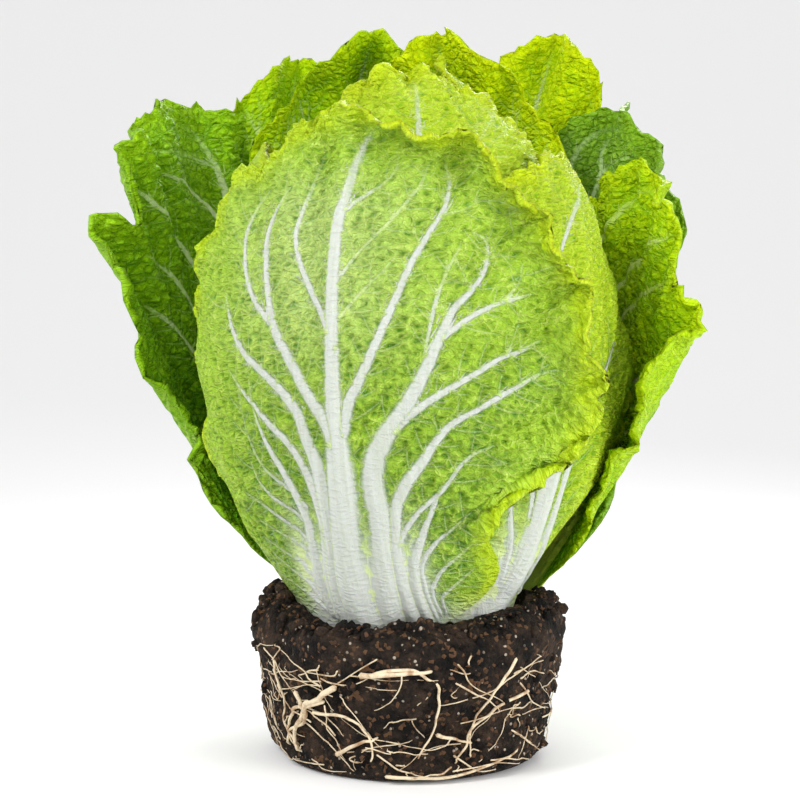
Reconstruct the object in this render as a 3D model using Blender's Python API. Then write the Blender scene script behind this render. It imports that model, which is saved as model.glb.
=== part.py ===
"""Napa cabbage lifted with its ball of soil, standing on the ball. Units are metres, +Z is up.
The front faces -Y.

The origin is the middle of the soil ball's flat underside. Azimuth is measured round the axis in degrees:
0 is the front, 90 is +X, 180 is the back. Each leaf is a thin solid of its own, bent round the head.
"""

import math
from dataclasses import dataclass

import bpy
import numpy as np

# Soil ball
BALL_FOOT_RADIUS = 0.0690
BALL_TOP_RADIUS = 0.0820
BALL_HEIGHT = 0.0750
BALL_EDGE = 0.0040  # rounding of the lower edge
POCKET_FLOOR = 0.0622  # the leaf stalks stand in a round hollow in the top of the soil
POCKET_RADIUS = 0.0765
SOIL_LUMP = 0.0011  # how far the lumps stand out

# Head: (radius, height) of its outermost surface, from the stalks' feet to the top
HEAD_OUTLINE = (
    (0.0560, 0.0650),
    (0.0640, 0.0860),
    (0.0780, 0.1080),
    (0.0940, 0.1400),
    (0.1065, 0.1800),
    (0.1125, 0.2220),
    (0.1100, 0.2620),
    (0.1000, 0.3000),
    (0.0850, 0.3300),
    (0.0690, 0.3540),
    (0.0520, 0.3740),
    (0.0300, 0.3930),
)
# The same for the innermost of the open leaves
OPEN_OUTLINE = (
    (0.0630, 0.0650),
    (0.0655, 0.0770),
    (0.0710, 0.0850),
    (0.0810, 0.0980),
    (0.0960, 0.1220),
    (0.1140, 0.1650),
    (0.1250, 0.2200),
    (0.1320, 0.2700),
    (0.1400, 0.3200),
    (0.1500, 0.3700),
    (0.1580, 0.4200),
)
# Heights between which a leaf moves from its ring of feet to its own layer
NEST_HEAD = (0.066, 0.092)
NEST_OPEN = (0.075, 0.102)
LAYER = 0.0064  # from one layer of the head's leaves to the next
OPEN_LAYER, OPEN_RING = 0.0125, 0.0015  # the same for the open leaves, and for their feet
HEART_DEPTH = 0.0420  # from the head's outline to the solid heart
HEART_TOP = 0.3200
MIDDLE_RING, INNER_RING = 0.0090, 0.0180  # how far inside the outline's foot these leaves' feet stand

# Blades
BLADE = 0.0010  # thickness between the ribs
RIB_HEIGHT_TIP = 0.0006
RIB_HALF_WIDTH_TIP = 0.0020
SIDE_RIB_HEIGHT = 0.0013
ROW_CROWDING = 1.4  # above 1 crowds a leaf's rows towards its foot
ROLL_ROWS = (0.900, 0.935, 0.960, 0.980)  # more rows for a margin that rolls
WAIST_AT, WAIST_SPAN = 0.27, 0.11  # where a waist draws a blade in, as shares of its length
NOTCH_SPAN = 0.035  # of a notch in the margin, in q
CUT_FROM = 0.60  # a cut in the margin begins here, as a share of the way to it
DIFFERENCE = 1e-3  # step in a blade's two parameters for its slopes

# Roots: thickness and the gap that keeps them off the soil
RING_ROOT_RADIUS = 0.0013
ROOT_RADIUS = 0.0012
ROOT_GAP = 0.0006
RING_HEIGHT = 0.0105
RING_WAVE = 0.0030


@dataclass(frozen=True)
class Leaf:
    """A leaf's own sizes. Triples are for the left edge, the tip and the right edge, seen from outside the
    head, and pairs for the left and the right edge. A place on the margin is q: -1 is the left end of the
    margin at the foot, 0 the tip and 1 the right end."""

    name: str
    azimuth: float
    rib: tuple  # (radius, height) of the midrib, foot to tip
    half_width: float
    foot: float = 0.0170  # half width of the stalk's foot
    rib_height: float = 0.0026  # of the midrib at its foot, above the blade's outer side
    widest: float = 0.58  # where the blade is widest, as a share of its length
    fullness: float = 163.0  # degrees of the outline's half ellipse
    taper: tuple = (1.25, 1.25)  # above 1 draws the lower blade's sides in towards the stalk
    shoulder: tuple = (1.0, 1.0)  # above 1 draws the upper blade's sides in towards the tip
    waist: tuple = (0.0, 0.0)  # share by which the sides are drawn in below the widest place
    notch: tuple = (0.0, 0.0)  # (place on the margin, depth as a share of the way to it)
    lobes: float = 0.0  # how deep the margin is cut between its lobes, as such a share
    stalk: float = 0.04  # share of the length over which the edge is the stalk's
    sway: float = 0.0  # degrees that the tip leans round the axis
    frill: tuple = (0.002, 0.004, 0.002)
    roll: tuple = ()  # (place on the margin, degrees that it turns outwards)
    roll_band: float = 0.030
    flare: tuple = (0.0, 0.0)  # how far the left and right edges stand out
    flare_from: float = 0.08  # share of the length above which they begin to
    rows: int = 8
    columns: int = 16


def through(knots, x):
    """A smooth curve through (x, y) knots: cubic Hermite spans, with slopes from the neighbouring knots."""
    xs, ys = np.array(knots, float).T
    slopes = np.gradient(ys, xs)
    k = np.clip(np.searchsorted(xs, x) - 1, 0, len(xs) - 2)
    width = xs[k + 1] - xs[k]
    u = np.clip((x - xs[k]) / width, 0, 1)
    return (
        (1 + 2 * u) * (1 - u) ** 2 * ys[k]
        + u * (1 - u) ** 2 * width * slopes[k]
        + u**2 * (3 - 2 * u) * ys[k + 1]
        + u**2 * (u - 1) * width * slopes[k + 1]
    )


def smooth(low, high, x):
    """0 below low, 1 above high, and a smooth step between."""
    u = np.clip((x - low) / (high - low), 0, 1)
    return u * u * (3 - 2 * u)


def nested(depth, top, ring=0.0, lean=0.0, start=HEAD_OUTLINE[0][1], outline=HEAD_OUTLINE, nest=NEST_HEAD):
    """A midrib that follows the outline from height start to height top, moved in by depth square to it.
    Its foot is moved in by ring, and above 0.22 it leans out."""
    along = np.linspace(start - 0.001, outline[-1][1], 200)
    radii = through([(z, r) for r, z in outline], along)
    slope = np.gradient(radii, along)
    square = np.hypot(1, slope)
    moved = ring + (depth - ring) * smooth(*nest, along)
    share = smooth(0.10, 0.20, along)  # near the foot it is moved in level
    radii = radii - moved * (1 + (1 / square - 1) * share)
    heights = along + moved * slope / square * share
    even = np.linspace(start, top, 30)
    return tuple(zip(np.interp(even, heights, radii) + lean * smooth(0.22, 0.40, even), even))


def opened(layer, top, lean=0.0):
    """The midrib of an open leaf, in a layer outside the innermost open leaf's."""
    depth, ring = -layer * OPEN_LAYER, -layer * OPEN_RING
    return nested(depth, top, ring, lean, outline=OPEN_OUTLINE, nest=NEST_OPEN)


# The front leaf's margin rolls over to the front right of its tip, and less and less down its right side
FRONT_ROLL = ((-0.06, 0), (0.08, 110), (0.30, 150), (0.45, 90), (0.62, 30), (0.75, 0))
# The head's leaves from the inside out, and the five open leaves behind the head
HEAD_LEAVES = (
    Leaf("leaf_inner_left", -155, nested(5.2 * LAYER, 0.362, 1.2 * INNER_RING), 0.078, foot=0.010,
         rib_height=0.0015, frill=(0.001, 0.002, 0.001), rows=7, columns=14),
    Leaf("leaf_inner_right", 88, nested(4.4 * LAYER, 0.375, INNER_RING), 0.080, foot=0.010,
         rib_height=0.0015, frill=(0.001, 0.002, 0.001), roll=((-0.3, 0), (0, 30), (0.3, 0)),
         roll_band=0.012, rows=7, columns=14),
    Leaf("leaf_inner_front", 4, nested(3.1 * LAYER, 0.364, MIDDLE_RING), 0.106, foot=0.012,
         frill=(0.001, 0.002, 0.001), rows=7, columns=14),
    Leaf("leaf_right_back", 122, nested(2.2 * LAYER, 0.332, MIDDLE_RING), 0.076, foot=0.010,
         frill=(0.001, 0.002, 0.001), rows=7, columns=14),
    Leaf("leaf_left", -96, nested(1.0 * LAYER, 0.332), 0.112, foot=0.013, frill=(0.001, 0.002, 0.001)),
    Leaf("leaf_right", 46, nested(1.0 * LAYER, 0.322), 0.092, foot=0.015, sway=22.0,
         frill=(0.001, 0.001, 0.003), flare=(0.0, 0.048), flare_from=0.20, rows=10, columns=24),
    Leaf("leaf_back_right", 160, nested(0.0 * LAYER, 0.413, lean=0.056), 0.078, foot=0.011, sway=10.0,
         frill=(0.001, 0.005, 0.001), lobes=0.03, columns=20),
    Leaf("leaf_back_left", -160, nested(-1.3 * LAYER, 0.415, lean=0.068, nest=(0.080, 0.115)), 0.074,
         foot=0.010, sway=-8.0, frill=(0.001, 0.005, 0.001), lobes=0.03, columns=20),
    Leaf("leaf_front", -20, nested(0.0, 0.336), 0.140, foot=0.027, rib_height=0.0042, widest=0.52,
         fullness=158, taper=(1.25, 1.45), shoulder=(1.35, 1.10), waist=(0.0, 0.36), sway=4.0,
         frill=(0.001, 0.003, 0.004), roll=FRONT_ROLL, rows=12, columns=32),
)
OPEN_LEAVES = (
    Leaf("leaf_open_right_low", 109, opened(0, 0.330), 0.094, foot=0.0075, widest=0.63, taper=(2.6, 1.6),
         sway=3.0, frill=(0.005, 0.005, 0.001), flare=(0.095, 0.0), flare_from=0.38,
         notch=(-0.417, 0.05), lobes=0.03, columns=24),
    Leaf("leaf_open_right_high", 134, opened(1, 0.371), 0.090, foot=0.0070, taper=(1.6, 1.6), sway=-3.0,
         frill=(0.002, 0.006, 0.001), flare=(0.044, 0.0), flare_from=0.36, lobes=0.03, columns=20),
    Leaf("leaf_open_back_right", 161, opened(2.0, 0.426), 0.084, foot=0.0070, taper=(1.6, 1.6), sway=-12.0,
         frill=(0.002, 0.007, 0.001), flare=(0.008, 0.0), lobes=0.03, columns=20),
    Leaf("leaf_open_left", -126, opened(0.8, 0.370), 0.102, foot=0.0075, widest=0.72, taper=(1.6, 3.0),
         shoulder=(1.0, 0.60), frill=(0.001, 0.006, 0.005), flare=(0.0, 0.074), flare_from=0.42,
         notch=(0.417, 0.08), lobes=0.03, columns=24),
    Leaf("leaf_open_back_left", -152, opened(2.7, 0.414), 0.082, foot=0.0070, taper=(1.6, 1.6), sway=-6.0,
         frill=(0.001, 0.007, 0.002), lobes=0.03, columns=20),
)
HEART_TIPS = tuple(
    Leaf(f"heart_tip_{k}", azimuth, nested(HEART_DEPTH + inset, top, start=0.24), 0.058,
         frill=(0.0, 0.003, 0.0), rows=6, columns=8)
    for k, (azimuth, inset, top) in enumerate(((-60, 0.004, 0.334), (75, 0.010, 0.330), (-165, 0.016, 0.324)))
)


def round_the_axis(azimuth, radius, height):
    """Points at an azimuth in radians, a radius and a height."""
    return np.stack([radius * np.sin(azimuth), -radius * np.cos(azimuth), height + 0 * azimuth], axis=-1)


def rib_table(leaf):
    """The midrib's length, and its (length so far, radius, height), finely sampled through the leaf's points
    and carried on straight past both ends, so that slopes can be taken there."""
    points = np.array(leaf.rib)
    chord = np.concatenate([[0], np.cumsum(np.hypot(*np.diff(points, axis=0).T))])
    fine = np.linspace(0, chord[-1], 160)
    radius = through(np.stack([chord, points[:, 0]], 1), fine)
    height = through(np.stack([chord, points[:, 1]], 1), fine)
    along = np.concatenate([[0], np.cumsum(np.hypot(np.diff(radius), np.diff(height)))])
    length = along[-1]
    along, radius, height = (
        np.concatenate([[2 * line[0] - line[1]], line, [2 * line[-1] - line[-2]]])
        for line in (along, radius, height)
    )
    return length, along, radius, height


def edge(leaf, q):
    """(across, along) of the flattened outline: half an ellipse above the widest place, and below it part of
    another that is drawn in by the taper and ends at the stalk."""
    length = rib_table(leaf)[0]
    angle = np.radians(leaf.fullness) * np.abs(q)
    upper = np.cos(angle) > 0
    below = (leaf.widest - leaf.stalk) * length / math.cos(math.radians(180 - leaf.fullness))
    taper = np.where(q < 0, leaf.taper[0], leaf.taper[1])
    shoulder = np.where(q < 0, leaf.shoulder[0], leaf.shoulder[1])
    across = leaf.half_width * np.abs(np.sin(angle)) ** np.where(upper, shoulder, taper)
    along = leaf.widest * length + np.where(upper, (1 - leaf.widest) * length, below) * np.cos(angle)
    waist = np.where(q < 0, leaf.waist[0], leaf.waist[1])
    across = across * (1 - waist * np.exp(-(((along / length - WAIST_AT) / WAIST_SPAN) ** 2)))
    return np.sign(q) * across, along


def spread_flat(leaf, s, q):
    """(across, along) of the flattened blade. Lines of one q fan out from the foot, as quadratic Beziers,
    and end on the outline, or short of it where the margin is notched or cut between two lobes."""
    place, depth = leaf.notch
    cut = depth * np.exp(-(((q - place) / NOTCH_SPAN) ** 2))
    cut = cut + leaf.lobes * (0.5 - 0.5 * np.cos(math.pi * leaf.columns / 4 * q))
    s = s * (1 - cut * smooth(CUT_FROM, 1.0, s))
    edge_across, edge_along = edge(leaf, q)
    foot_across = leaf.foot * q
    upright = 0.55 + 0.35 * smooth(0.4, 1.0, np.abs(q))
    across = (1 - s**2) * foot_across + s**2 * edge_across
    along = 2 * s * (1 - s) * upright * edge_along + s**2 * edge_along
    return across, along


def by_side(leaf, values, q, start=0.08):
    """Goes from the left value over the tip's to the right one as q goes from -1 to 1, and fades out down the
    lower edge."""
    left, tip, right = values
    side = np.where(q < 0, left, right)
    fade = smooth(start, start + 0.42, edge(leaf, q)[1] / rib_table(leaf)[0])
    return (tip + (side - tip) * smooth(0.15, 0.60, np.abs(q))) * fade


def bent(leaf, s, q):
    """The blade's middle surface before its margin is rolled and frilled, and its direction outwards.
    Along follows the midrib, and across goes round the head's axis. The edges may flare out from it."""
    across, along = spread_flat(leaf, s, q)
    length, table, radii, heights = rib_table(leaf)
    radius = np.interp(along, table, radii)
    share = along / length
    turn = across / np.maximum(radius, 0.055)
    out = by_side(leaf, (leaf.flare[0], 0, leaf.flare[1]), q, leaf.flare_from) * np.abs(q) ** 1.5 * s**2
    azimuth = math.radians(leaf.azimuth) + np.radians(leaf.sway) * share**3 + turn
    rise = np.interp(along, table, np.gradient(heights, table))
    spread = np.interp(along, table, np.gradient(radii, table))
    point = round_the_axis(azimuth, radius + out, np.interp(along, table, heights))
    return point, round_the_axis(azimuth, rise, -spread)


def shaped(leaf, s, q):
    """The middle surface: the margin rolls outwards on a circle, then waves along its own normal.
    The wave has a crest or a trough on each column of the leaf's grid."""
    s, q = np.broadcast_arrays(s, q)
    middle, outward = bent(leaf, s, q)
    upward = bent(leaf, s + DIFFERENCE, q)[0] - bent(leaf, s - DIFFERENCE, q)[0]
    upward = upward / np.linalg.norm(upward, axis=-1, keepdims=True)
    outward = outward - upward * (outward * upward).sum(-1, keepdims=True)
    outward = outward / np.linalg.norm(outward, axis=-1, keepdims=True)
    line = np.hypot(*edge(leaf, q))
    band = np.minimum(leaf.roll_band, 0.6 * line)
    beyond = np.maximum(0, band - (1 - s) * line)
    rolled = np.interp(q, *np.transpose(leaf.roll)) if leaf.roll else 0 * q
    bend = np.radians(rolled) / band + 1e-6
    turned = (bend * beyond)[..., None]
    bend = bend[..., None]
    middle = middle + outward * (1 - np.cos(turned)) / bend
    middle = middle - upward * (beyond[..., None] - np.sin(turned) / bend)
    normal = outward * np.cos(turned) - upward * np.sin(turned)
    wave = np.cos(math.pi * leaf.columns / 2 * q) * smooth(0.45, 1.0, s) ** 1.5
    return middle + normal * (by_side(leaf, leaf.frill, q) * wave)[..., None]


def split(number):
    """Triangles of a grid of vertex numbers, two to each cell, facing the side that the grid's rows are
    seen from when they run upwards and its columns to the right."""
    a, b = number[:-1, :-1].ravel(), number[:-1, 1:].ravel()
    c, d = number[1:, 1:].ravel(), number[1:, :-1].ravel()
    return np.concatenate([np.stack([a, b, c], 1), np.stack([a, c, d], 1)])


def grid_normals(points):
    """Unit normals of a grid of points, each the mean of its triangles' by their area."""
    flat = points.reshape(-1, 3)
    faces = split(np.arange(len(flat)).reshape(points.shape[:2]))
    corners = flat[faces]
    square = np.cross(corners[:, 1] - corners[:, 0], corners[:, 2] - corners[:, 0])
    normals = np.zeros_like(flat)
    for k in range(3):
        np.add.at(normals, faces[:, k], square)
    return (normals / np.linalg.norm(normals, axis=1, keepdims=True)).reshape(points.shape)


def skins(leaf, s, q):
    """(outer, inner) points of the leaf. The outer skin carries the midrib, which narrows and thins towards
    the tip, and a side rib on every second column."""
    s, q = np.broadcast_arrays(s, q)
    across, along = spread_flat(leaf, s, q)
    share = np.clip(along / rib_table(leaf)[0], 0, 1)
    middle = shaped(leaf, s, q)
    normal = grid_normals(middle)
    wide = leaf.foot * 0.85 * (1 - share) ** 1.2 + RIB_HALF_WIDTH_TIP
    high = leaf.rib_height * (1 - share) ** 1.1 + RIB_HEIGHT_TIP
    midrib = high * np.exp(-((across / wide) ** 2))
    side_rib = SIDE_RIB_HEIGHT * (1 - s) ** 0.5 * (0.5 + 0.5 * np.cos(math.pi * leaf.columns / 2 * q))
    outer = BLADE / 2 + midrib + side_rib * smooth(0.025, 0.060, along)
    return middle + normal * outer[..., None], middle - normal * BLADE / 2


def sheet_solid(leaf):
    """(points, triangles) of the closed leaf: both skins split alike, and a rim round them."""
    s = np.linspace(0, 1, leaf.rows + 1) ** ROW_CROWDING
    s[0] = 2 * DIFFERENCE
    if leaf.roll:
        s = np.sort(np.concatenate([s, ROLL_ROWS]))
    s = s[:, None]
    q = np.linspace(-1, 1, leaf.columns + 1)[None, :]
    outer, inner = skins(leaf, s, q)
    number = np.arange(outer.shape[0] * outer.shape[1]).reshape(outer.shape[:2])
    skin = split(number)
    loop = np.concatenate([number[0], number[1:, -1], number[-1, -2::-1], number[-2:0:-1, 0]])
    after = np.roll(loop, -1)
    far = number.size
    upper, lower = np.stack([after, loop, loop + far], 1), np.stack([after, loop + far, after + far], 1)
    rim = np.concatenate([upper, lower])
    points = np.concatenate([outer.reshape(-1, 3), inner.reshape(-1, 3)])
    return points, np.concatenate([skin, skin[:, ::-1] + far, rim])


def turned_solid(profile, sides, lump=0.0):
    """(points, triangles) of (radius, height, lumpiness) rings round the axis, from the lower pole to the
    upper. A lump is a sum of waves round and up the ring."""
    rings = np.array(profile[1:-1])
    azimuth = np.linspace(0, 2 * math.pi, sides, endpoint=False)[None, :]
    radius, height, rough = (rings[:, k][:, None] for k in range(3))
    waves = np.sin(7 * azimuth + 90 * height) + np.sin(11 * azimuth - 160 * height)
    waves = waves + np.sin(3 * azimuth + 1.3)
    points = round_the_axis(azimuth + 0 * radius, radius + lump * rough * waves / 3, height)
    number = np.arange(points.shape[0] * sides).reshape(-1, sides)
    following = np.roll(number, -1, axis=1)
    a, b = number[:-1].ravel(), following[:-1].ravel()
    c, d = following[1:].ravel(), number[1:].ravel()
    low, high = number.size, number.size + 1
    faces = [np.stack([a, b, c], 1), np.stack([a, c, d], 1)]
    faces.append(np.stack([following[0], number[0], np.full(sides, low)], 1))
    faces.append(np.stack([number[-1], following[-1], np.full(sides, high)], 1))
    poles = [[0, 0, profile[0][1]], [0, 0, profile[-1][1]]]
    return np.concatenate([points.reshape(-1, 3), poles]), np.concatenate(faces)


def tube_solid(path, radius, sides=5, closed=False):
    """(points, triangles) of a round tube along a path, with pointed ends unless it is a closed ring."""
    ahead = np.roll(path, -1, axis=0) - np.roll(path, 1, axis=0)
    if not closed:
        ahead[0], ahead[-1] = path[1] - path[0], path[-1] - path[-2]
    ahead = ahead / np.linalg.norm(ahead, axis=1, keepdims=True)
    away = path * (1, 1, 0)
    away = away - ahead * (away * ahead).sum(1, keepdims=True)
    away = away / np.linalg.norm(away, axis=1, keepdims=True)
    beside = np.cross(ahead, away)
    angle = np.linspace(0, 2 * math.pi, sides, endpoint=False)
    circle = away[:, None] * np.cos(angle)[None, :, None] + beside[:, None] * np.sin(angle)[None, :, None]
    points = (path[:, None] + circle * radius[:, None, None]).reshape(-1, 3)
    number = np.arange(len(points)).reshape(-1, sides)
    following = np.roll(number, -1, axis=1)
    if closed:
        here, there = number, np.roll(number, -1, axis=0)
        here_next, there_next = following, np.roll(following, -1, axis=0)
    else:
        here, there, here_next, there_next = number[:-1], number[1:], following[:-1], following[1:]
    a, b, c, d = here.ravel(), here_next.ravel(), there_next.ravel(), there.ravel()
    faces = [np.stack([a, b, c], 1), np.stack([a, c, d], 1)]
    if not closed:
        faces.append(np.stack([following[0], number[0], np.full(sides, len(points))], 1))
        faces.append(np.stack([number[-1], following[-1], np.full(sides, len(points) + 1)], 1))
        ends = [path[0] - ahead[0] * radius[0], path[-1] + ahead[-1] * radius[-1]]
        points = np.concatenate([points, ends])
    return points, np.concatenate(faces)


def finish(name, colour, roughness):
    """A plain finish for one piece."""
    material = bpy.data.materials.new(name)
    material.use_nodes = True
    shader = material.node_tree.nodes["Principled BSDF"]
    shader.inputs["Base Color"].default_value = (*colour, 1)
    shader.inputs["Roughness"].default_value = roughness
    shader.inputs["Metallic"].default_value = 0.0
    material.diffuse_color = (*colour, 1)
    return material


def add(name, solid, material):
    """A smooth-shaded object from (points, triangles)."""
    points, faces = solid
    mesh = bpy.data.meshes.new(name)
    mesh.from_pydata(points.tolist(), [], faces.tolist())
    mesh.materials.append(material)
    mesh.shade_smooth()
    obj = bpy.data.objects.new(name, mesh)
    bpy.context.scene.collection.objects.link(obj)
    return obj


def fuse(base, pieces):
    """Joins the pieces to the base by one Boolean union, then removes them."""
    group = bpy.data.collections.new(base.name + "_pieces")
    bpy.context.scene.collection.children.link(group)
    for piece in pieces:
        bpy.context.scene.collection.objects.unlink(piece)
        group.objects.link(piece)
    union = base.modifiers.new("join", "BOOLEAN")
    union.operation = "UNION"
    union.operand_type = "COLLECTION"
    union.collection = group
    union.solver = "EXACT"
    bpy.context.view_layer.update()
    joined = bpy.data.meshes.new_from_object(base.evaluated_get(bpy.context.evaluated_depsgraph_get()))
    base.modifiers.clear()
    base.data = joined
    for piece in pieces:
        bpy.data.objects.remove(piece)
    bpy.data.collections.remove(group)


def ball_radius(height):
    """Radius of the soil ball's side, which widens from its foot to its top."""
    return BALL_FOOT_RADIUS + (BALL_TOP_RADIUS - BALL_FOOT_RADIUS) * height / BALL_HEIGHT


def soil_ball():
    """A tapered ball with a flat foot, lumpy sides and a round hollow for the stalks."""
    side = [(ball_radius(z), z, 1.0) for z in np.linspace(BALL_EDGE, BALL_HEIGHT - 0.006, 7)]
    rim = [
        (BALL_TOP_RADIUS - 0.0015, BALL_HEIGHT - 0.0015, 0.6),
        (POCKET_RADIUS + 0.0030, BALL_HEIGHT, 0.3),
        (POCKET_RADIUS, BALL_HEIGHT - 0.0020, 0.0),
        (POCKET_RADIUS - 0.0030, POCKET_FLOOR, 0.0),
    ]
    profile = [(0, 0), (BALL_FOOT_RADIUS - BALL_EDGE, 0.0, 0.0), *side, *rim, (0, POCKET_FLOOR)]
    return turned_solid(profile, 40, SOIL_LUMP)


def root_path(knots, radius, points=9):
    """A root over the ball's side through (azimuth, height) knots, just clear of the soil's lumps."""
    knots = np.array(knots, float)
    chord = np.arange(len(knots))
    fine = np.linspace(0, chord[-1], points)
    azimuth = np.radians(through(np.stack([chord, knots[:, 0]], 1), fine))
    height = through(np.stack([chord, knots[:, 1]], 1), fine)
    return round_the_axis(azimuth, ball_radius(height) + SOIL_LUMP + ROOT_GAP + radius, height)


FRONT_ROOTS = (
    ((-28, 0.0480), (-38, 0.0400), (-47, 0.0290), (-53, 0.0160), (-50, 0.0090)),
    ((-14, 0.0570), (-2, 0.0600), (8, 0.0540), (11, 0.0420), (8, 0.0270), (3, 0.0100)),
    ((-39, 0.0330), (-27, 0.0345), (-18, 0.0290), (-14, 0.0180), (-16, 0.0090)),
    ((-60, 0.0560), (-56, 0.0400), (-58, 0.0240), (-55, 0.0100)),
    ((49, 0.0430), (36, 0.0390), (26, 0.0290), (21, 0.0160), (18, 0.0090)),
    ((40, 0.0620), (30, 0.0440), (24, 0.0300), (25, 0.0100)),
)
BACK_ROOT_COUNT = 7
BACK_ROOTS_FROM, BACK_ROOTS_TO = 75, 290  # degrees of azimuth


def back_roots():
    """Roots down the side that the front list doesn't reach, each with its own bow and height."""
    draw = np.random.default_rng(11)
    for azimuth in np.linspace(BACK_ROOTS_FROM, BACK_ROOTS_TO, BACK_ROOT_COUNT):
        bow, top, turn = draw.uniform(-16, 16), draw.uniform(0.042, 0.064), draw.uniform(-14, 14)
        yield ((azimuth, top), (azimuth + bow, 0.7 * top), (azimuth + turn, 0.4 * top), (azimuth, 0.0090))


def roots(material):
    """One net: a root that circles the ball's foot, and roots that run down into it."""
    azimuth = np.linspace(0, 2 * math.pi, 42, endpoint=False)
    height = RING_HEIGHT + RING_WAVE * np.sin(3 * azimuth + 0.6)
    radius = ball_radius(height) + SOIL_LUMP + ROOT_GAP + RING_ROOT_RADIUS
    ring = round_the_axis(azimuth, radius, height)
    net = add("roots", tube_solid(ring, np.full(len(ring), RING_ROOT_RADIUS), closed=True), material)
    pieces = []
    for k, knots in enumerate((*FRONT_ROOTS, *back_roots())):
        path = root_path(knots, ROOT_RADIUS)
        girth = ROOT_RADIUS * np.linspace(0.8, 1.0, len(path))
        pieces.append(add(f"root_{k}", tube_solid(path, girth), material))
    fuse(net, pieces)


def heart(material):
    """The closed middle of the head on its short stem, with three leaf tips standing out of its top."""
    heights = 0.076 + (HEART_TOP - 0.086) * np.linspace(0, 1, 11) ** 1.3
    radii = through([(z, r) for r, z in nested(HEART_DEPTH, 0.345, 0.0245)], heights)
    body = [(r, z, 0.0) for r, z in zip(radii, heights)]
    foot = (0.0250, POCKET_FLOOR + 0.0004, 0.0)
    profile = [(0, foot[1]), foot, *body, (0, HEART_TOP)]
    base = add("heart", turned_solid(profile, 28), material)
    fuse(base, [add(tip.name, sheet_solid(tip), material) for tip in HEART_TIPS])


def main():
    for obj in list(bpy.data.objects):
        bpy.data.objects.remove(obj)
    add("soil_ball", soil_ball(), finish("soil", (0.075, 0.050, 0.036), 0.95))
    roots(finish("root", (0.78, 0.68, 0.50), 0.7))
    heart(finish("heart", (0.72, 0.78, 0.30), 0.5))
    pale = finish("head_leaf", (0.50, 0.68, 0.16), 0.45)
    dark = finish("open_leaf", (0.20, 0.45, 0.05), 0.45)
    for leaves, material in ((HEAD_LEAVES, pale), (OPEN_LEAVES, dark)):
        for leaf in leaves:
            add(leaf.name, sheet_solid(leaf), material)


main()
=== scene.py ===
"""Looks of a napa cabbage in its ball of soil. Units are metres, +Z is up, the front faces -Y.

Azimuth goes round the head's axis in degrees: 0 is the front, 90 is +X, 180 is the back. A leaf is a surface
of two parameters: s goes from its foot to its margin, and q round the margin, from the left edge at -1 over
the tip at 0 to the right edge at 1, as seen from outside the head.
"""
import math
from dataclasses import dataclass

import bpy
import numpy as np
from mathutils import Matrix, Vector


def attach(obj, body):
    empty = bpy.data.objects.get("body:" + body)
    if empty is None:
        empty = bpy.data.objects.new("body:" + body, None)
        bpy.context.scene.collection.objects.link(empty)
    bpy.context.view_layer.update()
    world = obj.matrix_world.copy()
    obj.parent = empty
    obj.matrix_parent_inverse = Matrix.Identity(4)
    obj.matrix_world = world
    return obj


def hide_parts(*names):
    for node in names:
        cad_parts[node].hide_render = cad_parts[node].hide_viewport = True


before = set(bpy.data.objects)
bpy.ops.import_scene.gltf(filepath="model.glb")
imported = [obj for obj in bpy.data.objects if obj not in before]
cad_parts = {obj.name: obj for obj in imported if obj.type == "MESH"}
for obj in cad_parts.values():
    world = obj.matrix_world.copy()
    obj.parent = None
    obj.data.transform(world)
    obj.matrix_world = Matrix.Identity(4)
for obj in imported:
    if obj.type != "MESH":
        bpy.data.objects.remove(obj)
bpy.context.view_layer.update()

# Camera and picture
CAMERA_AT = (0.0, -0.82, 0.215)
CAMERA_AIM = (-0.005, 0.0, 0.190)
CAMERA_LENS = 68.0
SENSOR = 36.0
PICTURE = 800

# Floor and lamps: (name, place, size, power)
SWEEP_FROM, SWEEP, SWEEP_SPAN, SWEEP_TOP = 0.9, 3.0, 6.0, 8.0
LAMPS = (
    ("key", (-0.70, -0.60, 0.95), 0.30, 8.0),
    ("fill", (0.95, -0.70, 0.40), 0.50, 8.0),
    ("back", (0.25, 0.80, 0.95), 0.50, 6.0),
)

# Soil ball
BALL_FOOT_RADIUS = 0.0690
BALL_TOP_RADIUS = 0.0820
BALL_HEIGHT = 0.0750
BALL_EDGE = 0.0040
POCKET_FLOOR = 0.0622
POCKET_RADIUS = 0.0765
SHOULDER = BALL_HEIGHT - 0.009
CRUMBS, HAIRS = 560, 210

# Head and open leaves: (radius, height) of the layer that each nests on
HEAD_OUTLINE = (
    (0.0560, 0.0650),
    (0.0640, 0.0860),
    (0.0780, 0.1080),
    (0.0940, 0.1400),
    (0.1065, 0.1800),
    (0.1125, 0.2220),
    (0.1100, 0.2620),
    (0.1000, 0.3000),
    (0.0850, 0.3300),
    (0.0690, 0.3540),
    (0.0520, 0.3740),
    (0.0300, 0.3930),
)
OPEN_OUTLINE = (
    (0.0630, 0.0650),
    (0.0655, 0.0770),
    (0.0710, 0.0850),
    (0.0810, 0.0980),
    (0.0960, 0.1220),
    (0.1140, 0.1650),
    (0.1250, 0.2200),
    (0.1320, 0.2700),
    (0.1400, 0.3200),
    (0.1500, 0.3700),
    (0.1580, 0.4200),
)
NEST_HEAD = (0.066, 0.092)
NEST_OPEN = (0.075, 0.102)
LAYER = 0.0064
OPEN_LAYER, OPEN_RING = 0.0125, 0.0015
MIDDLE_RING, INNER_RING = 0.0090, 0.0180

# Blades
BLADE = 0.0010
RIB_HEIGHT_TIP = 0.0006
RIB_HALF_WIDTH_TIP = 0.0020
WAIST_AT, WAIST_SPAN = 0.27, 0.11
NOTCH_SPAN = 0.035
CUT_FROM = 0.60
DIFFERENCE = 1e-3
OUTER, INNER = 1, -1

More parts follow.
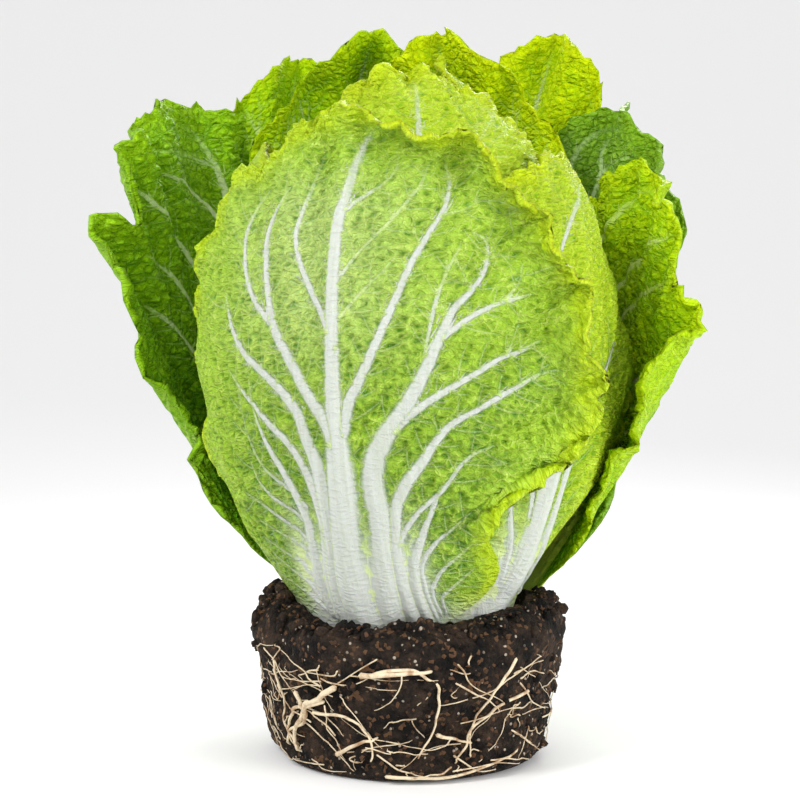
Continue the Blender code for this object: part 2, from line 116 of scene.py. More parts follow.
# Ribs
RIDGE = 0.62  # height of a side rib, about this share of its half width
RIB_REACH = 0.040  # how far from a rib it is looked for
LOWEST_PAIR = 0.90  # place on the margin of the lowest pair of side ribs
PAIRS = 6
RIM_FREE = (0.995, 0.93)  # ribs sink between these shares of the way to the margin
SEAM = (-0.0002, 0.0006)  # a rib's paint fades in as the next rib is farther than it by these
PAINT_SEEN, PAINT_BACK = (0.0032, 0.0020), (0.0060, 0.0035)  # and out at these from its edge, by side
FAINTEST = 0.34  # share of the paint that the thinnest vein has
MIDRIB_FAN = (0.36, 0.15)  # the white foot of a leaf ends between these shares of its length

# Margins: the length of the two kinds of teeth, and each wave of the ruffle with how far in it starts
TEETH = ((0.45, 0.0045), (0.55, 0.013))
RUFFLES = ((1.0, 0.030), (0.55, 0.020), (0.38, 0.012))
MARGIN = 0.010  # how far in the margin's own colour reaches
CREASE_SHADE_REACH = 0.0035  # how far from a rib the painted shade of its crease reaches

# The painted sheen in the middle of the front leaf: the place and half width across, and where it starts and
# ends upwards
SHEEN_ACROSS, SHEEN_WIDE = -0.01, 0.045
SHEEN_FROM, SHEEN_TO = (0.45, 0.66), (0.92, 0.78)

DETAIL = 1.0


def through(knots, x):
    """A smooth curve through (x, y) knots: cubic Hermite spans, with slopes from the neighbouring knots."""
    xs, ys = np.array(knots, float).T
    slopes = np.gradient(ys, xs)
    k = np.clip(np.searchsorted(xs, x) - 1, 0, len(xs) - 2)
    width = xs[k + 1] - xs[k]
    u = np.clip((x - xs[k]) / width, 0, 1)
    return (
        (1 + 2 * u) * (1 - u) ** 2 * ys[k]
        + u * (1 - u) ** 2 * width * slopes[k]
        + u**2 * (3 - 2 * u) * ys[k + 1]
        + u**2 * (u - 1) * width * slopes[k + 1]
    )


def smooth(low, high, x):
    """0 below low, 1 above high, and a smooth step between."""
    u = np.clip((x - low) / (high - low), 0, 1)
    return u * u * (3 - 2 * u)


def nested(depth, top, ring=0.0, lean=0.0, start=HEAD_OUTLINE[0][1], outline=HEAD_OUTLINE, nest=NEST_HEAD):
    """A midrib that follows the outline from height start to height top, moved in by depth square to it.
    Its foot is moved in by ring, and above 0.22 it leans out."""
    along = np.linspace(start - 0.001, outline[-1][1], 200)
    radii = through([(z, r) for r, z in outline], along)
    slope = np.gradient(radii, along)
    square = np.hypot(1, slope)
    moved = ring + (depth - ring) * smooth(*nest, along)
    share = smooth(0.10, 0.20, along)
    radii = radii - moved * (1 + (1 / square - 1) * share)
    heights = along + moved * slope / square * share
    levels = np.linspace(start, top, 30)
    return tuple(zip(np.interp(levels, heights, radii) + lean * smooth(0.22, 0.40, levels), levels))


def opened(layer, top, lean=0.0):
    """The midrib of an open leaf, in a layer outside the innermost open leaf's."""
    depth, ring = -layer * OPEN_LAYER, -layer * OPEN_RING
    return nested(depth, top, ring, lean, outline=OPEN_OUTLINE, nest=NEST_OPEN)


@dataclass(frozen=True)
class Leaf:
    """A leaf's sizes. Triples are for the left edge, the tip and the right edge. The values are those of the
    solids, but for the front leaf's roll, which turns farther here."""

    name: str
    azimuth: float
    rib: tuple  # (radius, height) of the midrib, foot to tip
    half_width: float
    foot: float = 0.0170
    rib_height: float = 0.0026
    widest: float = 0.58
    fullness: float = 163.0
    taper: tuple = (1.25, 1.25)
    shoulder: tuple = (1.0, 1.0)
    waist: tuple = (0.0, 0.0)
    notch: tuple = (0.0, 0.0)
    lobes: float = 0.0
    stalk: float = 0.04
    sway: float = 0.0
    frill: tuple = (0.002, 0.004, 0.002)
    roll: tuple = ()  # (place on the margin, degrees that it turns outwards)
    roll_band: float = 0.030
    flare: tuple = (0.0, 0.0)
    flare_from: float = 0.08
    waves: int = 8  # of the margin, all round


# The front leaf's margin rolls over to the front right of its tip, and less and less down its right side
FRONT_ROLL = ((-0.08, 0), (0.06, 150), (0.30, 178), (0.48, 140), (0.64, 70), (0.78, 0))
HEAD_LEAVES = (
    Leaf("leaf_inner_left", -155, nested(5.2 * LAYER, 0.362, 1.2 * INNER_RING), 0.078, foot=0.010,
         rib_height=0.0015, frill=(0.001, 0.002, 0.001), waves=7),
    Leaf("leaf_inner_right", 88, nested(4.4 * LAYER, 0.375, INNER_RING), 0.080, foot=0.010,
         rib_height=0.0015, frill=(0.001, 0.002, 0.001), roll=((-0.3, 0), (0, 30), (0.3, 0)),
         roll_band=0.012, waves=7),
    Leaf("leaf_inner_front", 4, nested(3.1 * LAYER, 0.364, MIDDLE_RING), 0.106, foot=0.012,
         frill=(0.001, 0.002, 0.001), waves=7),
    Leaf("leaf_right_back", 122, nested(2.2 * LAYER, 0.332, MIDDLE_RING), 0.076, foot=0.010,
         frill=(0.001, 0.002, 0.001), waves=7),
    Leaf("leaf_left", -96, nested(1.0 * LAYER, 0.332), 0.112, foot=0.013, frill=(0.001, 0.002, 0.001)),
    Leaf("leaf_right", 46, nested(1.0 * LAYER, 0.322), 0.092, foot=0.015, sway=22.0,
         frill=(0.001, 0.001, 0.003), flare=(0.0, 0.048), flare_from=0.20, waves=12),
    Leaf("leaf_back_right", 160, nested(0.0 * LAYER, 0.413, lean=0.056), 0.078, foot=0.011, sway=10.0,
         frill=(0.001, 0.005, 0.001), lobes=0.03, waves=10),
    Leaf("leaf_back_left", -160, nested(-1.3 * LAYER, 0.415, lean=0.068, nest=(0.080, 0.115)), 0.074,
         foot=0.010, sway=-8.0, frill=(0.001, 0.005, 0.001), lobes=0.03, waves=10),
    Leaf("leaf_front", -20, nested(0.0, 0.336), 0.140, foot=0.027, rib_height=0.0042, widest=0.52,
         fullness=158, taper=(1.25, 1.45), shoulder=(1.35, 1.10), waist=(0.0, 0.36), sway=4.0,
         frill=(0.001, 0.003, 0.004), roll=FRONT_ROLL, waves=16),
)
OPEN_LEAVES = (
    Leaf("leaf_open_right_low", 109, opened(0, 0.330), 0.094, foot=0.0075, widest=0.63, taper=(2.6, 1.6),
         sway=3.0, frill=(0.005, 0.005, 0.001), flare=(0.095, 0.0), flare_from=0.38,
         notch=(-0.417, 0.05), lobes=0.03, waves=12),
    Leaf("leaf_open_right_high", 134, opened(1, 0.371), 0.090, foot=0.0070, taper=(1.6, 1.6), sway=-3.0,
         frill=(0.002, 0.006, 0.001), flare=(0.044, 0.0), flare_from=0.36, lobes=0.03, waves=10),
    Leaf("leaf_open_back_right", 161, opened(2.0, 0.426), 0.084, foot=0.0070, taper=(1.6, 1.6), sway=-12.0,
         frill=(0.002, 0.007, 0.001), flare=(0.008, 0.0), lobes=0.03, waves=10),
    Leaf("leaf_open_left", -126, opened(0.8, 0.370), 0.102, foot=0.0075, widest=0.72, taper=(1.6, 3.0),
         shoulder=(1.0, 0.60), frill=(0.001, 0.006, 0.005), flare=(0.0, 0.074), flare_from=0.42,
         notch=(0.417, 0.08), lobes=0.03, waves=12),
    Leaf("leaf_open_back_left", -152, opened(2.7, 0.414), 0.082, foot=0.0070, taper=(1.6, 1.6), sway=-6.0,
         frill=(0.001, 0.007, 0.002), lobes=0.03, waves=10),
)
LEAVES = {leaf.name: leaf for leaf in (*HEAD_LEAVES, *OPEN_LEAVES)}


def round_the_axis(azimuth, radius, height):
    """Points at an azimuth in radians, a radius and a height."""
    return np.stack([radius * np.sin(azimuth), -radius * np.cos(azimuth), height + 0 * azimuth], axis=-1)


def rib_table(leaf):
    """The midrib's length, and its (length so far, radius, height), carried on straight past both ends."""
    points = np.array(leaf.rib)
    chord = np.concatenate([[0], np.cumsum(np.hypot(*np.diff(points, axis=0).T))])
    fine = np.linspace(0, chord[-1], 160)
    radius = through(np.stack([chord, points[:, 0]], 1), fine)
    height = through(np.stack([chord, points[:, 1]], 1), fine)
    along = np.concatenate([[0], np.cumsum(np.hypot(np.diff(radius), np.diff(height)))])
    length = along[-1]
    along, radius, height = (
        np.concatenate([[2 * line[0] - line[1]], line, [2 * line[-1] - line[-2]]])
        for line in (along, radius, height)
    )
    return length, along, radius, height


def edge(leaf, q):
    """(across, along) of the flattened outline: half an ellipse above the widest place, and below it part of
    another that is drawn in by the taper and ends at the stalk."""
    length = rib_table(leaf)[0]
    angle = np.radians(leaf.fullness) * np.abs(q)
    upper = np.cos(angle) > 0
    below = (leaf.widest - leaf.stalk) * length / math.cos(math.radians(180 - leaf.fullness))
    taper = np.where(q < 0, leaf.taper[0], leaf.taper[1])
    shoulder = np.where(q < 0, leaf.shoulder[0], leaf.shoulder[1])
    across = leaf.half_width * np.abs(np.sin(angle)) ** np.where(upper, shoulder, taper)
    along = leaf.widest * length + np.where(upper, (1 - leaf.widest) * length, below) * np.cos(angle)
    waist = np.where(q < 0, leaf.waist[0], leaf.waist[1])
    across = across * (1 - waist * np.exp(-(((along / length - WAIST_AT) / WAIST_SPAN) ** 2)))
    return np.sign(q) * across, along


def spread_flat(leaf, s, q):
    """(across, along) of the flattened blade. Lines of one q fan out from the foot, as quadratic Beziers,
    and end on the outline, or short of it where the margin is notched or cut between two lobes."""
    place, depth = leaf.notch
    cut = depth * np.exp(-(((q - place) / NOTCH_SPAN) ** 2))
    cut = cut + leaf.lobes * (0.5 - 0.5 * np.cos(math.pi * leaf.waves / 2 * q))
    s = s * (1 - cut * smooth(CUT_FROM, 1.0, s))
    edge_across, edge_along = edge(leaf, q)
    foot_across = leaf.foot * q
    upright = 0.55 + 0.35 * smooth(0.4, 1.0, np.abs(q))
    across = (1 - s**2) * foot_across + s**2 * edge_across
    along = 2 * s * (1 - s) * upright * edge_along + s**2 * edge_along
    return across, along


def by_side(leaf, values, q, start=0.08):
    """Goes from the left value over the tip's to the right one as q goes from -1 to 1, and fades out down the
    lower edge."""
    left, tip, right = values
    side = np.where(q < 0, left, right)
    fade = smooth(start, start + 0.42, edge(leaf, q)[1] / rib_table(leaf)[0])
    return (tip + (side - tip) * smooth(0.15, 0.60, np.abs(q))) * fade


def bent(leaf, s, q):
    """The blade's middle surface before its margin is rolled and frilled, and its direction outwards.
    Along follows the midrib, and across goes round the head's axis. The edges may flare out from it."""
    across, along = spread_flat(leaf, s, q)
    length, table, radii, heights = rib_table(leaf)
    radius = np.interp(along, table, radii)
    share = along / length
    turn = across / np.maximum(radius, 0.055)
    out = by_side(leaf, (leaf.flare[0], 0, leaf.flare[1]), q, leaf.flare_from) * np.abs(q) ** 1.5 * s**2
    azimuth = math.radians(leaf.azimuth) + np.radians(leaf.sway) * share**3 + turn
    rise = np.interp(along, table, np.gradient(heights, table))
    spread = np.interp(along, table, np.gradient(radii, table))
    point = round_the_axis(azimuth, radius + out, np.interp(along, table, heights))
    return point, round_the_axis(azimuth, rise, -spread)


def shaped(leaf, s, q):
    """The middle surface: the margin rolls outwards on a circle, then waves along its own normal."""
    s, q = np.broadcast_arrays(s, q)
    middle, outward = bent(leaf, s, q)
    upward = bent(leaf, s + DIFFERENCE, q)[0] - bent(leaf, s - DIFFERENCE, q)[0]
    upward = upward / np.linalg.norm(upward, axis=-1, keepdims=True)
    outward = outward - upward * (outward * upward).sum(-1, keepdims=True)
    outward = outward / np.linalg.norm(outward, axis=-1, keepdims=True)
    line = np.hypot(*edge(leaf, q))
    band = np.minimum(leaf.roll_band, 0.6 * line)
    beyond = np.maximum(0, band - (1 - s) * line)
    rolled = np.interp(q, *np.transpose(leaf.roll)) if leaf.roll else 0 * q
    bend = np.radians(rolled) / band + 1e-6
    turned = (bend * beyond)[..., None]
    bend = bend[..., None]
    middle = middle + outward * (1 - np.cos(turned)) / bend
    middle = middle - upward * (beyond[..., None] - np.sin(turned) / bend)
    normal = outward * np.cos(turned) - upward * np.sin(turned)
    wave = np.cos(math.pi * leaf.waves * q) * smooth(0.45, 1.0, s) ** 1.5
    return middle + normal * (by_side(leaf, leaf.frill, q) * wave)[..., None]


def split(number):
    """Triangles of a grid of vertex numbers, two to each cell, facing the side that the grid's rows are
    seen from when they run upwards and its columns to the right."""
    a, b = number[:-1, :-1].ravel(), number[:-1, 1:].ravel()
    c, d = number[1:, 1:].ravel(), number[1:, :-1].ravel()
    return np.concatenate([np.stack([a, b, c], 1), np.stack([a, c, d], 1)])


def grid_normals(points):
    """Unit normals of a grid of points, each square to the two grid directions there."""
    square = np.cross(np.gradient(points, axis=1), np.gradient(points, axis=0))
    return square / np.maximum(np.linalg.norm(square, axis=-1, keepdims=True), 1e-12)


def ripple(x, seed):
    """Smooth noise along a line, from -1 to 1: random values at whole numbers, joined by smooth steps."""
    values = np.random.default_rng(seed).uniform(-1, 1, 512)
    whole = np.floor(x).astype(int)
    u = x - whole
    u = u * u * (3 - 2 * u)
    return values[whole % 512] * (1 - u) + values[(whole + 1) % 512] * u


def clouds(points, size, seed):
    """Smooth noise in space, from -1 to 1: random values at the corners of cubes of that size, blended by
    smooth steps along the three axes."""
    values = np.random.default_rng(seed).uniform(-1, 1, 4096)
    scaled = points / size + 1000
    whole = np.floor(scaled).astype(np.int64)
    u = scaled - whole
    u = u * u * (3 - 2 * u)
    total = 0
    for corner in np.ndindex(2, 2, 2):
        x, y, z = (whole + corner).T if points.ndim == 2 else np.moveaxis(whole + corner, -1, 0)
        weight = np.prod(np.where(corner, u, 1 - u), axis=-1)
        total = total + weight * values[(x * 1619 + y * 31337 + z * 6971) % 4096]
    return total


def cells(x, y, seed):
    """How far a point is inside its cell, when each unit square holds one random point: the difference of
    the distances to the second nearest and the nearest of them."""
    draw = np.random.default_rng(seed).uniform(0.1, 0.9, (2, 4096))
    first = np.full(x.shape, 9.0)
    second = first.copy()
    column, row = np.floor(x).astype(np.int64), np.floor(y).astype(np.int64)
    for step_x in (-1, 0, 1):
        for step_y in (-1, 0, 1):
            key = ((column + step_x) * 1619 + (row + step_y) * 31337) % 4096
            far = np.hypot(column + step_x + draw[0, key] - x, row + step_y + draw[1, key] - y)
            second = np.minimum(second, np.maximum(first, far))
            first = np.minimum(first, far)
    return second - first


def crumble(points, size, seed):
    """Round crumbs in space: 1 at the random point of the nearest cube of that size, falling to 0 away."""
    draw = np.random.default_rng(seed).uniform(0.1, 0.9, (3, 4096))
    scaled = points / size + 1000
    whole = np.floor(scaled).astype(np.int64)
    nearest = np.full(points.shape[:-1], 9.0)
    for step in np.ndindex(3, 3, 3):
        cube = whole + np.array(step) - 1
        key = (cube[..., 0] * 1619 + cube[..., 1] * 31337 + cube[..., 2] * 6971) % 4096
        away = cube + np.moveaxis(draw[:, key], 0, -1) - scaled
        nearest = np.minimum(nearest, (away**2).sum(-1))
    return np.sqrt(np.clip(1 - nearest, 0, 1))


# Ribs read in the 800-pixel picture: (x, y, width), from the foot to the end of the rib
FRONT_RIBS = (
    ((372, 622, 30), (358, 590, 32), (350, 550, 32), (345, 490, 30), (337, 415, 18), (334, 340, 13),
     (336, 265, 10), (340, 225, 9), (347, 195, 8), (358, 160, 6), (370, 135, 4), (384, 117, 2)),
    ((343, 470, 14), (330, 425, 14), (307, 390, 12), (292, 362, 11), (275, 327, 9), (271, 307, 7),
     (267, 265, 6), (269, 235, 5), (278, 210, 4), (292, 188, 2)),
    ((275, 327, 7), (260, 307, 6), (251, 287, 6), (247, 260, 5), (248, 235, 4), (258, 210, 3),
     (272, 190, 2)),
    ((338, 350, 7), (325, 317, 7), (310, 287, 6), (299, 255, 5), (297, 235, 5), (303, 213, 4),
     (314, 185, 3), (325, 157, 2)),
    ((352, 618, 15), (340, 590, 16), (332, 540, 17), (325, 490, 17), (320, 465, 16), (307, 435, 13),
     (300, 415, 12), (282, 390, 10), (262, 370, 8), (247, 355, 7), (235, 332, 5), (227, 295, 2)),
    ((343, 612, 11), (333, 575, 12), (325, 515, 12), (317, 490, 12), (303, 462, 9), (287, 440, 8),
     (272, 425, 7), (257, 407, 5), (245, 392, 4), (232, 372, 2)),
    ((337, 610, 10), (327, 590, 11), (317, 552, 12), (308, 515, 11), (299, 497, 10), (285, 472, 8),
     (270, 447, 6), (262, 430, 4), (255, 410, 3), (250, 380, 2)),
    ((308, 505, 6), (295, 492, 4), (282, 482, 4), (265, 467, 3), (254, 447, 3), (245, 420, 2),
     (240, 395, 2)),
    ((312, 525, 5), (297, 511, 4), (275, 497, 4), (260, 480, 3), (252, 460, 2)),
    ((315, 545, 5), (302, 530, 4), (282, 517, 4), (262, 502, 3), (248, 492, 2)),
    ((318, 565, 5), (307, 547, 4), (282, 532, 3), (262, 520, 2)),
    ((321, 583, 5), (310, 567, 4), (285, 550, 3), (267, 537, 2)),
    ((325, 598, 5), (312, 582, 4), (292, 567, 3), (275, 552, 2)),
    ((331, 608, 4), (318, 598, 4), (300, 585, 3), (282, 572, 2)),
    ((346, 430, 11), (350, 402, 11), (360, 380, 10), (373, 350, 9), (395, 300, 8), (412, 262, 7),
     (430, 232, 6), (445, 207, 5), (449, 185, 4), (445, 165, 2)),
    ((342, 275, 4), (357, 255, 3), (375, 237, 3), (392, 220, 3), (407, 202, 3), (420, 185, 3),
     (428, 165, 2)),
    ((347, 210, 5), (352, 205, 4), (367, 195, 4), (385, 184, 3), (396, 172, 3), (400, 155, 2)),
    ((340, 318, 3), (362, 292, 3), (382, 272, 2), (394, 258, 2)),
    ((440, 217, 3), (465, 210, 2), (480, 202, 2), (500, 201, 2), (518, 207, 2)),
    ((394, 620, 20), (386, 575, 22), (381, 515, 22), (374, 480, 21), (376, 458, 20), (386, 435, 18),
     (400, 415, 16), (415, 390, 14), (430, 360, 12), (443, 330, 10), (454, 308, 8), (471, 291, 6),
     (482, 275, 5), (487, 257, 4), (484, 240, 3), (472, 232, 2)),
    ((392, 432, 9), (407, 417, 9), (435, 397, 7), (460, 382, 6), (480, 370, 6), (500, 358, 5),
     (520, 352, 4), (537, 342, 2)),
    ((500, 358, 3), (508, 350, 3), (513, 337, 2), (517, 325, 2)),
    ((443, 338, 6), (450, 332, 6), (475, 315, 5), (495, 305, 4), (510, 300, 4), (530, 294, 2)),
    ((500, 303, 3), (512, 292, 3), (520, 280, 2), (521, 267, 2)),
    ((424, 355, 3), (430, 325, 4), (436, 300, 4), (443, 280, 3), (451, 263, 3), (460, 247, 2)),
    ((470, 292, 3), (463, 275, 2), (456, 260, 2)),
    ((484, 260, 3), (500, 256, 2), (512, 257, 2)),
    ((414, 618, 13), (401, 575, 14), (395, 527, 13), (397, 505, 12), (407, 482, 12), (422, 462, 10),
     (435, 442, 8), (450, 425, 7), (477, 410, 5), (497, 398, 5), (520, 385, 4), (538, 374, 3),
     (557, 369, 2)),
    ((398, 545, 6), (407, 527, 6), (420, 510, 5), (437, 495, 5), (450, 480, 4), (460, 465, 4),
     (476, 452, 3), (492, 446, 2)),
    ((428, 618, 11), (416, 585, 12), (414, 562, 11), (420, 542, 9), (427, 522, 6), (436, 500, 4),
     (440, 487, 2)),
    ((436, 615, 7), (426, 590, 7), (423, 562, 6), (433, 545, 5), (455, 527, 3), (472, 512, 2)),
    ((440, 612, 5), (432, 590, 5), (440, 572, 4), (458, 555, 3), (474, 540, 2)),
    ((446, 612, 4), (442, 597, 4), (456, 583, 3), (472, 570, 2)),
)
LEFT_OPEN_RIBS = (
    ((228, 225, 5), (224, 190, 5), (213, 162, 4), (200, 142, 3), (182, 126, 2)),
    ((216, 168, 3), (198, 160, 3), (178, 153, 2), (160, 152, 2)),
    ((236, 250, 5), (220, 222, 4), (200, 200, 4), (178, 180, 3), (158, 172, 2)),
    ((232, 340, 5), (210, 305, 5), (196, 272, 4), (180, 243, 4), (164, 218, 3), (150, 200, 3),
     (136, 190, 2)),
    ((228, 360, 5), (200, 325, 4), (185, 296, 3), (168, 272, 3), (148, 258, 2)),
    ((232, 410, 5), (208, 376, 4), (188, 345, 3), (168, 322, 3), (146, 306, 2)),
)
RIGHT_HIGH_RIBS = (
    ((548, 190, 4), (552, 165, 4), (565, 142, 3), (584, 122, 2)),
    ((566, 200, 4), (572, 165, 4), (580, 148, 3), (597, 134, 3), (624, 126, 2)),
    ((584, 228, 4), (592, 200, 4), (601, 174, 4), (603, 150, 3), (611, 137, 2)),
    ((601, 174, 3), (614, 163, 2), (628, 158, 2)),
)
RIGHT_LOW_RIBS = (
    ((592, 260, 5), (606, 232, 5), (628, 205, 4), (655, 188, 2)),
    ((600, 310, 5), (625, 280, 5), (650, 250, 4), (676, 232, 2)),
    ((604, 350, 5), (628, 312, 4), (655, 288, 3), (682, 272, 2)),
    ((606, 420, 5), (626, 390, 4), (654, 368, 3), (680, 352, 2)),
    ((600, 465, 4), (618, 440, 3), (642, 422, 2)),
)
RIGHT_RIBS = (
    ((482, 616, 26), (505, 585, 34), (532, 520, 34), (552, 460, 28), (570, 400, 20), (580, 350, 12),
     (585, 300, 8)),
    ((520, 590, 10), (548, 525, 10), (566, 470, 9), (584, 420, 8), (600, 380, 6), (612, 340, 4)),
    ((498, 575, 8), (508, 540, 7), (510, 500, 5), (518, 470, 4), (530, 450, 2)),
    ((520, 535, 6), (528, 500, 5), (534, 470, 3), (545, 450, 2)),
    ((560, 250, 5), (575, 200, 6), (578, 180, 5)),
)


def picture_place(points):
    """Where points show in the picture, in pixels right of and below its upper left corner."""
    at, aim = np.array(CAMERA_AT), np.array(CAMERA_AIM)
    ahead = (aim - at) / np.linalg.norm(aim - at)
    right = np.cross(ahead, (0, 0, 1))
    right = right / np.linalg.norm(right)
    up = np.cross(right, ahead)
    seen = points - at
    scale = PICTURE * CAMERA_LENS / SENSOR / (seen @ ahead)
    return np.stack([PICTURE / 2 + (seen @ right) * scale, PICTURE / 2 - (seen @ up) * scale], axis=-1)


def laid_on(leaf, ribs, side, thickness):
    """Ribs of the picture laid on a leaf: each point goes to the place of the flattened blade that shows
    there and turns that side to the camera. Returns (across, along, half width) lines."""
    s = np.linspace(0.02, 1, 140)[:, None]
    q = np.linspace(-1, 1, 240)[None, :]
    points = shaped(leaf, s, q)
    facing = (grid_normals(points) * (np.array(CAMERA_AT) - points)).sum(-1) * side > 0
    across, along = spread_flat(leaf, s, q)
    place = picture_place(points)
    pixel = SENSOR / CAMERA_LENS / PICTURE * np.linalg.norm(np.array(CAMERA_AT) - points, axis=-1)
    lines = []
    for rib in ribs:
        knots = np.array(rib, float)
        chord = np.concatenate([[0], np.cumsum(np.hypot(*np.diff(knots[:, :2], axis=0).T))])
        fine = np.linspace(0, chord[-1], max(8, int(chord[-1] / 6)))
        x, y, width = (through(np.stack([chord, column], 1), fine) for column in knots.T)
        line = []
        for k in range(len(fine)):
            away = np.hypot(place[..., 0] - x[k], place[..., 1] - y[k]) + np.where(facing, 0, 1e3)
            near = np.exp(-((away - away.min()) ** 2) / 8) * (away < away.min() + 6)
            near = near / near.sum()
            half = thickness * width[k] / 2 * (pixel * near).sum()
            line.append(((across * near).sum(), (along * near).sum(), half))
        lines.append(np.array(line))
    return lines


def grown_ribs(leaf, seed, thickness):
    """Side ribs in pairs that leave the midrib at a sharp angle, bow outwards and end near the margin, each
    with two branches. A rib is a quadratic Bezier on the flattened blade: (across, along, half width)."""
    draw = np.random.default_rng(seed)
    length = rib_table(leaf)[0]
    u = np.linspace(0, 1, 18)[:, None]
    lines = []

    def bow(start, end, lift, first, last):
        """A bowed line from start to end that sets off upwards."""
        start, end = np.array(start), np.array(end)
        middle = start + (end - start) * (0.38, 0.5 + lift)
        path = (1 - u) ** 2 * start + 2 * u * (1 - u) * middle + u**2 * end
        return np.hstack([path, first + (last - first) * u**0.8])

    for side in (-1, 1):
        for k in range(PAIRS):
            up = (k + draw.uniform(0.2, 0.8) * (side > 0)) / PAIRS
            q = side * (LOWEST_PAIR - (LOWEST_PAIR - 0.14) * up)
            end = np.array([float(v) for v in edge(leaf, np.array(q))])
            fork = 0.42 + 0.30 * (1 - abs(q)) + draw.uniform(-0.03, 0.03)
            start = (0.0, max(0.06 * length, end[1] * fork))
            width = 0.0022 * thickness * (0.55 + 0.45 * abs(q))
            rib = bow(start, end * (0.94, 0.98), 0.12, width, 0.0005)
            lines.append(rib)
            for place, turn in ((7, 0.045), (10, -0.040)):
                tip = np.array([float(v) for v in edge(leaf, np.array(np.clip(q + side * turn, -1, 1)))])
                lines.append(bow(rib[place, :2], tip * (0.95, 0.98), 0.05, rib[place, 2] * 0.6, 0.0004))
    return lines


def midrib_line(leaf, width):
    """The midrib as a rib line that narrows from the foot's width to the tip's."""
    share = np.linspace(0, 0.97, 24)
    half = leaf.foot * 0.62 * width * (1 - share) ** 1.3 + 0.0007
    return np.stack([0 * share, share * rib_table(leaf)[0], half], 1)


def twigs(ribs, seed, spacing=0.012):
    """Short side veins that leave each rib to both sides by turns, lean up along it and end half way to the
    next rib, or earlier. The way of one is a quadratic in u from the rib outwards."""
    draw = np.random.default_rng(seed)
    starts = []
    for k, rib in enumerate(ribs):
        so_far = np.concatenate([[0], np.cumsum(np.hypot(*np.diff(rib[:, :2], axis=0).T))])
        for place in np.arange(0.35 * spacing, so_far[-1] - 0.3 * spacing, spacing / 2):
            x, y, half = (np.interp(place, so_far, rib[:, column]) for column in range(3))
            ahead = [np.interp(place + 0.004, so_far, rib[:, c]) - np.interp(place - 0.004, so_far, rib[:, c])
                     for c in (0, 1)]
            starts.append((k, x, y, half, *ahead))
    if not starts:
        return []
    owner, x, y, half, ahead_x, ahead_y = np.array(starts).T
    ahead = np.stack([ahead_x, ahead_y], 1)
    ahead = ahead / np.maximum(np.linalg.norm(ahead, axis=1, keepdims=True), 1e-9)
    side = np.where(np.arange(len(x)) % 2, 1.0, -1.0)[:, None]
    beside = side * np.stack([ahead[:, 1], -ahead[:, 0]], 1)
    size = draw.uniform(0.7, 1.9, (len(x), 1)) * spacing
    u = np.linspace(0, 1, 9)[None, :, None]
    path = beside[:, None] * (0.85 * u - 0.12 * u**2) + ahead[:, None] * (0.45 * u + 0.22 * u**2)
    path = np.stack([x, y], 1)[:, None] + size[:, None] * path
    own, other = np.full(path.shape[:2], 9.0), np.full(path.shape[:2], 9.0)
    for k, rib in enumerate(ribs):
        away = np.linalg.norm(path[:, :, None] - rib[None, None, :, :2], axis=-1).min(-1)
        mine = (owner == k)[:, None]
        own = np.where(mine, away, own)
        other = np.where(mine, other, np.minimum(other, away))
    made = []
    for k, line in enumerate(path):
        blocked = np.flatnonzero(other[k, 2:] < own[k, 2:])
        last = 2 + blocked[0] if len(blocked) else len(line) - 1
        if last < 3:
            continue
        start = min(0.0005, 0.4 * half[k] + 0.0002)
        thin = start + (0.00028 - start) * np.linspace(0, 1, last + 1)
        made.append(np.column_stack([line[: last + 1], thin]))
    return made


